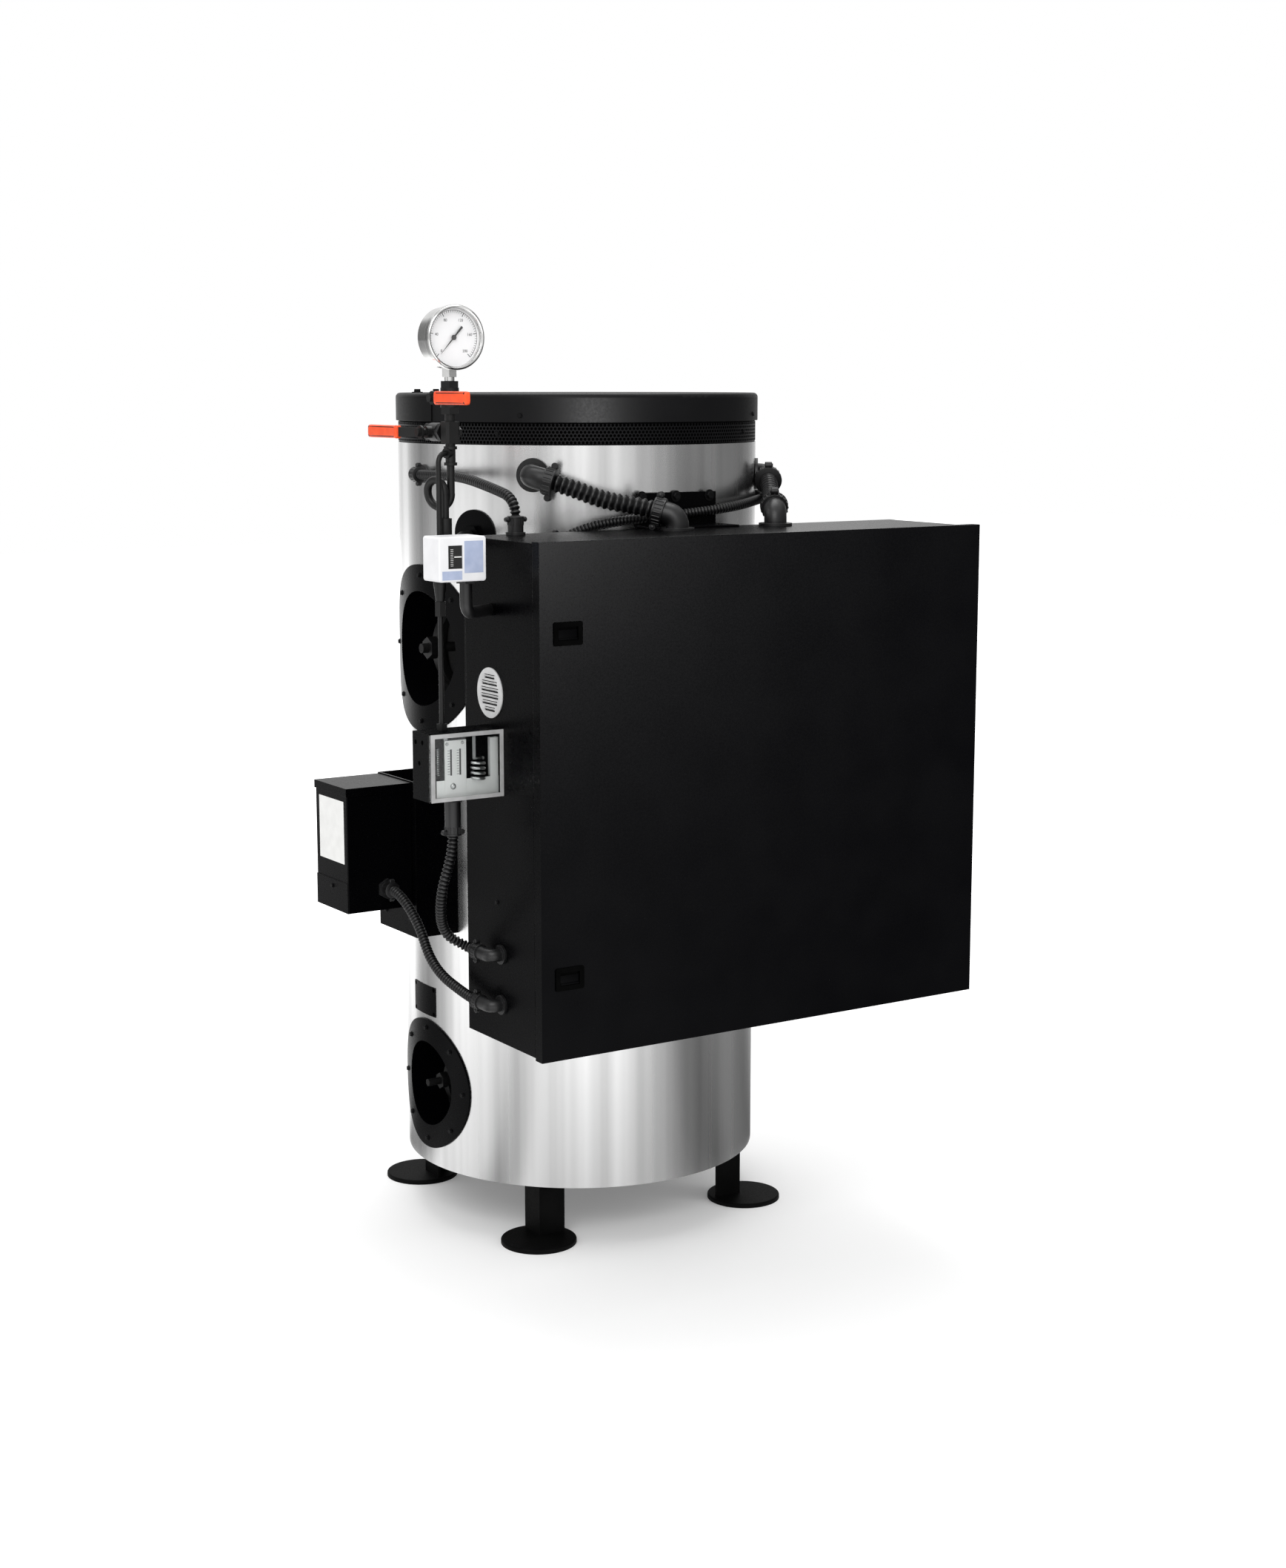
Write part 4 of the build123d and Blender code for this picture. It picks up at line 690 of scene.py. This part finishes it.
# a spot round the casing's axis, and the way outward there
def roundSpot(angle, radius, height):
    turn = math.radians(angle)
    way = Vector((math.cos(turn), math.sin(turn), 0.0))
    return way * radius + Vector((0, 0, height)), way


# perforated vent band: its holes stand about 4 mm apart in life, and are drawn coarser so that they show
bandPlan = {"radius": 278.7, "sheet": 0.9, "low": 1219.4, "high": 1251.6, "pitch": 5.8, "hole": 2.25, "margin": 2.6}
length = 2 * math.pi * bandPlan["radius"]
columns = round(length / bandPlan["pitch"])
rowGap = bandPlan["pitch"] * math.sqrt(3) / 2
height = bandPlan["high"] - bandPlan["low"]
rows = int((height - 2 * bandPlan["margin"]) / rowGap) + 1
holes = []
for row in range(rows):
    for column in range(columns):
        across = (column + 0.25 + 0.5 * (row % 2)) / columns * length - length / 2
        holes.append(((across, (row - (rows - 1) / 2) * rowGap, 0.0), (0, 0, 1)))
band = growPiece("perforated_band", pointSource(holes), bandTree, "punched black sheet", {
    "Strip Length": length, "Strip Height": height, "Strip Base": (bandPlan["high"] + bandPlan["low"]) / 2,
    "Band Radius": bandPlan["radius"], "Hole Radius": bandPlan["hole"], "Sheet": bandPlan["sheet"]})
print("stage: perforated band,", len(band.data.polygons), "faces")

# screws and bolts, seated on the pieces that carry them
screwPlan = {
    "ring_screws": {"head": 3.6, "height": 2.4, "sides": 16, "washer": 4.6, "washerHeight": 0.6,
                    "finish": "black oxide steel"},
    "bracket_bolts": {"head": 6.0, "height": 4.2, "sides": 6, "washer": 8.5, "washerHeight": 1.4,
                      "finish": "black oxide steel"},
    "small_screws": {"head": 2.9, "height": 0.12, "sides": 16, "washer": 3.3, "washerHeight": 0.03,
                     "finish": "shineless black steel and painted shade"},
    "dark_screws": {"head": 3.2, "height": 1.8, "sides": 16, "washer": 4.2, "washerHeight": 0.4,
                    "finish": "black oxide steel"}}
# the kind, the piece that carries it, the way of the probe that finds its seat, and where each probe starts
seatPlan = [
    ("bracket_bolts", "cabinet_brackets", (0, 1, 0),
     [(x, -310.0, z) for x in (-62.0, -2.0, 58.0) for z in (1144.0, 351.0)]),
    ("dark_screws", "cabinet_brackets", (0, 0, -1), [(x, -330.0, 1180.0) for x in (-46.0, 46.0)]),
    ("dark_screws", "cabinet_brackets", (0, 0, 1), [(x, -330.0, 340.0) for x in (-46.0, 46.0)]),
    ("bracket_bolts", "lid", (0, 0, -1), [(-232.0, 94.0, 1400.0), (-193.0, 106.0, 1400.0)]),
    ("dark_screws", "transformer", (1, 0, 0), [(-600.0, -18.6, 560.0)]),
    ("dark_screws", "transformer_bracket", (1, 0, 0), [(-600.0, y, 503.0) for y in (19.0, -62.0)]),
    ("dark_screws", "cabinet_left", (1, 0, 0), [(-500.0, -399.5, 595.0)]),
    ("small_screws", "control_case", (1, 0, 0),
     [(-600.0, -378.4, 827.7), (-600.0, -397.9, 828.6), (-600.0, -388.3, 799.4)]),
    ("small_screws", "nameplate", (1, 0, 0), [(-500.0, y, z) for y in (-22.0, 40.0) for z in (335.0, 374.0)]),
    ("dark_screws", "door_hinges", (-1, 0, 0), [(500.0, -490.0, z) for z in (553.0, 540.5, 928.0, 915.5)])]
collarPlan = {"count": 8, "start": -500.0, "upper_handhole_collar": {"height": 908.0, "radius": 112.0},
              "lower_handhole_collar": {"height": 220.0, "radius": 90.0}}
for node in ("upper_handhole_collar", "lower_handhole_collar"):
    height, radius = collarPlan[node]["height"], collarPlan[node]["radius"]
    turns = [2 * math.pi * k / collarPlan["count"] for k in range(collarPlan["count"])]
    seatPlan.append(("ring_screws", node, (1, 0, 0), [
        (collarPlan["start"], radius * math.cos(turn), height + radius * math.sin(turn)) for turn in turns]))
screws = {name: [] for name in screwPlan}
for name, node, way, starts in seatPlan:
    screws[name] += [seatOn(node, start, way) for start in starts]
# round the lid's rim and the band below it
rimPlan = {"count": 4, "far": 600.0, "lidAngle": -138.4, "lidHeight": 1262.0, "bandAngle": -146.0,
           "bandHeight": 1235.5, "bandRadius": 279.5}
for k in range(rimPlan["count"]):
    turned = 360.0 * k / rimPlan["count"]
    start, way = roundSpot(rimPlan["lidAngle"] + turned, rimPlan["far"], rimPlan["lidHeight"])
    screws["dark_screws"].append(seatOn("lid", start, -way))
    screws["dark_screws"].append(
        roundSpot(rimPlan["bandAngle"] + turned, rimPlan["bandRadius"], rimPlan["bandHeight"]))


def screwPiece(name, spots, plan):
    return growPiece(name, pointSource(spots), screwTree, plan["finish"], {
        "Head Radius": plan["head"], "Head Height": plan["height"], "Washer Radius": plan["washer"],
        "Washer Height": plan["washerHeight"]}, {"Head Sides": plan["sides"]})


for name, spots in screws.items():
    screwPiece(name, spots, screwPlan[name])
print("stage: screws,", sum(len(spots) for spots in screws.values()))

# gauge: rolled bezel, printed scale, hub cap; the lifts are from the dial's face
gaugePlan = {"centre": (-429.5, -378.0, 1369.0), "dialFront": 11.0, "from": 225.0, "sweep": 270.0,
             "bezel": [(11.2, 42.6), (18.6, 43.0), (20.6, 42.2), (21.6, 40.6), (20.9, 38.9), (18.8, 38.2),
                       (17.4, 38.4), (12.0, 41.0)],
             "cap": [(13.4, 3.4), (14.6, 3.2), (15.0, 2.4), (15.1, 0.3)],
             "numbers": (0, 40, 80, 120, 160, 200), "numberRadius": 25.2, "numberHeight": 5.2, "numberDepth": 0.1,
             "lift": 0.05, "divisions": 50,
             "dial_major_marks": {"radius": 33.2, "width": 0.9, "thickness": 0.2, "length": 5.4},
             "dial_minor_marks": {"radius": 34.4, "width": 0.45, "thickness": 0.2, "length": 3.0},
             "arc": ((35.8, -0.1), (36.3, -0.1), (36.3, 0.15), (35.8, 0.15)), "arcSteps": 90}
turnedPiece("gauge_bezel", gaugePlan["centre"], gaugePlan["bezel"], 72, "polished stainless case",
            looped=True)


# a spot on the dial at a share of the scale, and the way outward there
def dialSpot(share, radius, lift):
    turn = math.radians(gaugePlan["from"] - gaugePlan["sweep"] * share)
    way = Vector((math.cos(turn), 0.0, math.sin(turn)))
    return Vector(gaugePlan["centre"]) + way * radius + Vector((0, -gaugePlan["dialFront"] - lift, 0)), way


steps = len(gaugePlan["numbers"]) - 1
marks = {"dial_major_marks": [], "dial_minor_marks": []}
for k in range(gaugePlan["divisions"] + 1):
    name = "dial_minor_marks" if k % (gaugePlan["divisions"] // steps) else "dial_major_marks"
    marks[name].append(dialSpot(k / gaugePlan["divisions"], gaugePlan[name]["radius"], gaugePlan["lift"]))
for name, spots in marks.items():
    barPiece(name, spots, "black printing ink", gaugePlan[name])
shape = bmesh.new()
addRings(shape, [[dialSpot(k / gaugePlan["arcSteps"], radius, lift)[0] for radius, lift in gaugePlan["arc"]]
                 for k in range(gaugePlan["arcSteps"] + 1)])
closeShape("dial_arc", shape, "black printing ink", "boiler")


# a number becomes a mesh before it gets its place
def addNumber(shape, text, place):
    curve = bpy.data.curves.new("number", "FONT")
    curve.body = text
    curve.size = gaugePlan["numberHeight"] * mm
    curve.extrude = gaugePlan["numberDepth"] * mm
    curve.align_x = "CENTER"
    curve.align_y = "CENTER"
    holder = bpy.data.objects.new("number", curve)
    scene.collection.objects.link(holder)
    graph = bpy.context.evaluated_depsgraph_get()
    mesh = bpy.data.meshes.new_from_object(holder.evaluated_get(graph))
    bpy.data.objects.remove(holder)
    mesh.transform(Matrix.Translation(Vector(place) * mm) @ Matrix.Rotation(math.radians(90), 4, "X"))
    shape.from_mesh(mesh)


shape = bmesh.new()
for k, number in enumerate(gaugePlan["numbers"]):
    addNumber(shape, str(number), dialSpot(k / steps, gaugePlan["numberRadius"], gaugePlan["lift"])[0])
bmesh.ops.remove_doubles(shape, verts=shape.verts[:], dist=0.001 * mm)
closeShape("dial_numbers", shape, "black printing ink", "boiler")
turnedPiece("pointer_cap", gaugePlan["centre"], gaugePlan["cap"], 24, "black printing ink")
print("stage: gauge")

# lever grips: dipped sleeves over the flat levers
gripPlan = {"sections": [(-1.2, 6.9, 3.6), (-0.6, 8.0, 4.4), (0.6, 8.9, 4.95), (4.0, 9.0, 5.0), (6.0, 8.7, 4.75),
                         (46.0, 8.7, 4.75), (80.0, 8.8, 4.8), (83.6, 8.4, 4.5), (85.4, 7.0, 3.6), (85.9, 5.2, 2.6)],
            "sides": 32, "power": 4.0,
            "levers": {"gauge_lever": {"hub": (-429.5, -378.0, 1289.8), "way": (0, -1, 0)},
                       "test_lever": {"hub": (-429.5, -342.0, 1243.5), "way": (0, 1, 0)}},
            "shift": -40.0, "start": 38.0}
for body, lever in gripPlan["levers"].items():
    shape = bmesh.new()
    way = Vector(lever["way"])
    middle = Vector(lever["hub"]) + Vector((gripPlan["shift"], 0, 0)) + way * gripPlan["start"]
    rings = []
    for along, wide, thin in gripPlan["sections"]:
        ring = []
        for k in range(gripPlan["sides"]):
            turn = 2 * math.pi * k / gripPlan["sides"]
            cosine, sine = math.cos(turn), math.sin(turn)
            bulge = (abs(cosine) ** gripPlan["power"] + abs(sine) ** gripPlan["power"]) ** (-1 / gripPlan["power"])
            ring.append(middle + way * along + Vector((thin * cosine * bulge, 0, wide * sine * bulge)))
        rings.append(ring)
    addRings(shape, rings)
    closeShape(body + "_grip", shape, "dipped orange vinyl", body)
print("stage: grips")

# door latches: a paddle with a finger lip in each recess; plate and lip are given from front to back
latchPlan = {"x": -335.2, "heights": (979.5, 507.0), "half": (14.6, 8.4), "plate": (-525.9, -524.9), "gap": 3.0,
             "lip": (-527.0, -525.8), "lipHeight": 2.6, "edge": 0.35}
blocks = []
wide, tall = latchPlan["half"]
for z in latchPlan["heights"]:
    for (front, back), top in ((latchPlan["plate"], z + tall - latchPlan["gap"]),
                               (latchPlan["lip"], z - tall + latchPlan["lipHeight"])):
        blocks.append(((latchPlan["x"] - wide, front, z - tall), (latchPlan["x"] + wide, back, top)))
blockPiece("latch_paddles", blocks, "satin black powder coat", "door", latchPlan["edge"])

# cabinet: foam gasket on the doorway's lip
gasketPlan = {"low": (-372.0, -506.3, 400.4), "high": (372.0, -502.5, 1094.6), "width": 8.0}
blockPiece("door_gasket", frameBlocks(gasketPlan["low"], gasketPlan["high"], gasketPlan["width"]),
           "black sponge rubber")

# lid: the lapped end of its side sheet
lapPlan = {"from": -171.2, "to": -196.0, "steps": 24,
           "section": ((282.9, 1252.6), (284.8, 1252.6), (284.8, 1287.0), (282.9, 1287.0))}
shape = bmesh.new()
rings = []
for k in range(lapPlan["steps"] + 1):
    angle = lapPlan["from"] + (lapPlan["to"] - lapPlan["from"]) * k / lapPlan["steps"]
    rings.append([roundSpot(angle, radius, height)[0] for radius, height in lapPlan["section"]])
addRings(shape, rings)
closeShape("lid_lap", shape, "black enamelled lid", "boiler")
print("stage: cabinet and lid")

# limit switch: bare printed panels, window, its scale and pointer, as the corners of blocks
switchPlan = {
    "panels": [((-446.0, -444.25, 1059.5), (-417.6, -443.6, 1102.0)),
               ((-479.5, -444.25, 1050.8), (-449.6, -443.6, 1062.6))],
    "window": [((-470.0, -442.85, 1065.7), (-449.0, -442.3, 1096.3))],
    "pointer": [((-460.7, -443.4, 1080.5), (-449.8, -442.7, 1081.9))],
    "scale": {"x": -464.2, "y": -442.95, "low": 1069.5, "gap": 2.4, "count": 10, "width": 0.5, "thickness": 0.25,
              "length": 4.0}}
scale = switchPlan["scale"]
blockPiece("switch_panels", switchPlan["panels"], "pale blue printed film")
blockPiece("switch_window", switchPlan["window"], "black printing ink")
barPiece("switch_scale", [((scale["x"], scale["y"], scale["low"] + scale["gap"] * k), (1, 0, 0))
                          for k in range(scale["count"])], "white label film", scale)
blockPiece("switch_pointer", switchPlan["pointer"], "white label film")

# pressure control: what shows through the clear cover, and the cover's frame
controlPlan = {
    "frame": {"low": (-488.8, -423.0, 748.9), "high": (-377.1, -421.3, 841.6), "width": 5.6},
    "plates": [((-392.6, -412.1, 771.6), (-380.0, -405.5, 830.2)),
               ((-463.4, -412.7, 758.1), (-430.2, -411.3, 830.8)),
               ((-476.0, -412.0, 751.5), (-379.5, -411.3, 776.5))],
    "backing": [((-428.5, -410.5, 803.0), (-414.3, -399.5, 833.7)),
                ((-463.4, -411.1, 831.0), (-430.2, -408.5, 837.0))],
    "edge": 0.3,
    "slots": {"spots": ((-453.8, -412.75, 800.7), (-439.7, -412.75, 800.8)), "width": 2.6, "thickness": 0.2,
              "length": 36.0},
    "marks": {"columns": (-457.3, -443.2), "y": -412.75, "low": 784.5, "gap": 3.6, "count": 10, "width": 0.6,
              "thickness": 0.2, "length": 3.2},
    "screws": {"spots": ((-459.7, -412.7, 826.3), (-435.9, -412.7, 826.9)), "head": 2.2, "height": 1.2, "sides": 16,
               "washer": 2.5, "washerHeight": 0.2, "finish": "bright zinc plate"},
    "knob": {"spot": (-451.1, -412.5, 767.8),
             "profile": [(0, 4.2), (1.2, 4.2), (2.6, 3.4), (3.3, 1.8), (3.5, 0.3)]},
    "springs": {
        "control_thin_spring": {"foot": (-472.8, -410.0, 784.0), "radius": 2.0, "length": 36.0, "turns": 14.0,
                                "wire": 0.5},
        "control_coils": {"foot": (-411.5, -406.5, 774.0), "radius": 11.0, "length": 28.0, "turns": 4.0,
                          "wire": 2.2}}}
rim, slots, marks = (controlPlan[key] for key in ("frame", "slots", "marks"))
blockPiece("control_frame", frameBlocks(rim["low"], rim["high"], rim["width"]), "pale grey plastic")
blockPiece("control_plates", controlPlan["plates"], "white label film", edge=controlPlan["edge"])
blockPiece("control_backing", controlPlan["backing"], "pale grey plastic",
           edge=controlPlan["edge"])
barPiece("control_slots", [(spot, (0, 0, 1)) for spot in slots["spots"]], "black printing ink",
         slots)
barPiece("control_marks", [((x, marks["y"], marks["low"] + marks["gap"] * k), (1, 0, 0)) for x in marks["columns"]
                           for k in range(marks["count"])], "black printing ink", marks)
screwPiece("control_screws", [(spot, (0, -1, 0)) for spot in controlPlan["screws"]["spots"]],
           controlPlan["screws"])
turnedPiece("control_knob", controlPlan["knob"]["spot"], controlPlan["knob"]["profile"], 24, "bright zinc plate")
for name, spring in controlPlan["springs"].items():
    foot = pointSource([(spring["foot"], (0, 0, 1))])
    growPiece(name, foot, springTree, "bright zinc plate", {
        "Coil Radius": spring["radius"], "Coil Length": spring["length"], "Wire Radius": spring["wire"]},
        {"Turns": spring["turns"]})
print("stage: switch and control")

# transformer: its bare label
labelPlan = {"low": (-447.35, -61.3, 599.0), "high": (-446.7, 22.0, 694.0)}
blockPiece("transformer_label", [(labelPlan["low"], labelPlan["high"])], "white label film")

# conduit fittings: grip ribs and a lip round each collar, and clamp lugs with their screws;
# the lip's profile has shares of a rib, the lug's and the screw's have shares of the lug's radius
fittingPlan = {
    "feed": {"radius": 19.98, "length": 16.0, "ribs": 20, "rib": 1.2, "lug": (5.2, 11.0),
             "names": ("feed_conduit_left", "feed_conduit_right")},
    "spiral": {"radius": 11.1, "length": 14.0, "ribs": 16, "rib": 0.8, "lug": (3.6, 7.5),
               "names": ("rear_conduit", "control_conduit", "transformer_conduit", "level_conduit")}}
lipPlan = {"back": 2.4, "profile": ((0, 0), (0, 1), (2.2, 1), (2.6, 0)), "ribMargin": 4.0}
lugPlan = {"along": 0.3, "out": 0.7, "end": 0.8, "round": 0.9, "screwOut": 1.4, "upright": 0.8,
           "screw": ((0, 0.42), (0.4, 0.55), (1.6, 0.55))}
for kindName, plan in fittingPlan.items():
    spots = []
    lips = bmesh.new()
    lugs = bmesh.new()
    radius, wide = plan["lug"]
    lipProfile = [(along, plan["radius"] + plan["rib"] * share) for along, share in lipPlan["profile"]]
    lugProfile = [(0, radius * lugPlan["end"]), (lugPlan["round"], radius), (wide - lugPlan["round"], radius),
                  (wide, radius * lugPlan["end"])]
    screwProfile = [(along, radius * share) for along, share in lugPlan["screw"]]
    for name in plan["names"]:
        route = [Vector(spot) for spot in conduitPlan["routes"][name]]
        for mouth, inner in ((route[0], route[1]), (route[-1], route[-2])):
            way = (inner - mouth).normalized()
            upright = abs(way.z) > lugPlan["upright"]
            across = Vector((1, 0, 0)) if upright else way.cross(Vector((0, 0, 1))).normalized()
            up = across.cross(way)
            middle = mouth - way * plan["length"] / 2
            for k in range(plan["ribs"]):
                turn = 2 * math.pi * k / plan["ribs"]
                spots.append((middle + (across * math.cos(turn) + up * math.sin(turn)) * plan["radius"], way))
            addTurned(lips, mouth - way * lipPlan["back"], way, lipProfile, sides=36)
            side = across if upright else up
            axis = way.cross(side).normalized()
            for sign in (-1, 1):
                reach = side * sign * (plan["radius"] + radius * lugPlan["out"])
                seat = mouth - way * plan["length"] * lugPlan["along"] + reach - axis * wide / 2
                addTurned(lugs, seat, axis, lugProfile, sides=20)
                addTurned(lugs, seat - axis * lugPlan["screwOut"], axis, screwProfile, sides=16)
    closeShape(kindName + "_clamp_lugs", lugs, "moulded black nylon", "boiler")
    growPiece(kindName + "_collar_ribs", pointSource(spots), ribTree, "moulded black nylon", {
        "Rib Radius": plan["rib"], "Rib Length": plan["length"] - lipPlan["ribMargin"]})
    closeShape(kindName + "_collar_lips", lips, "moulded black nylon", "boiler")
print("stage: fittings")
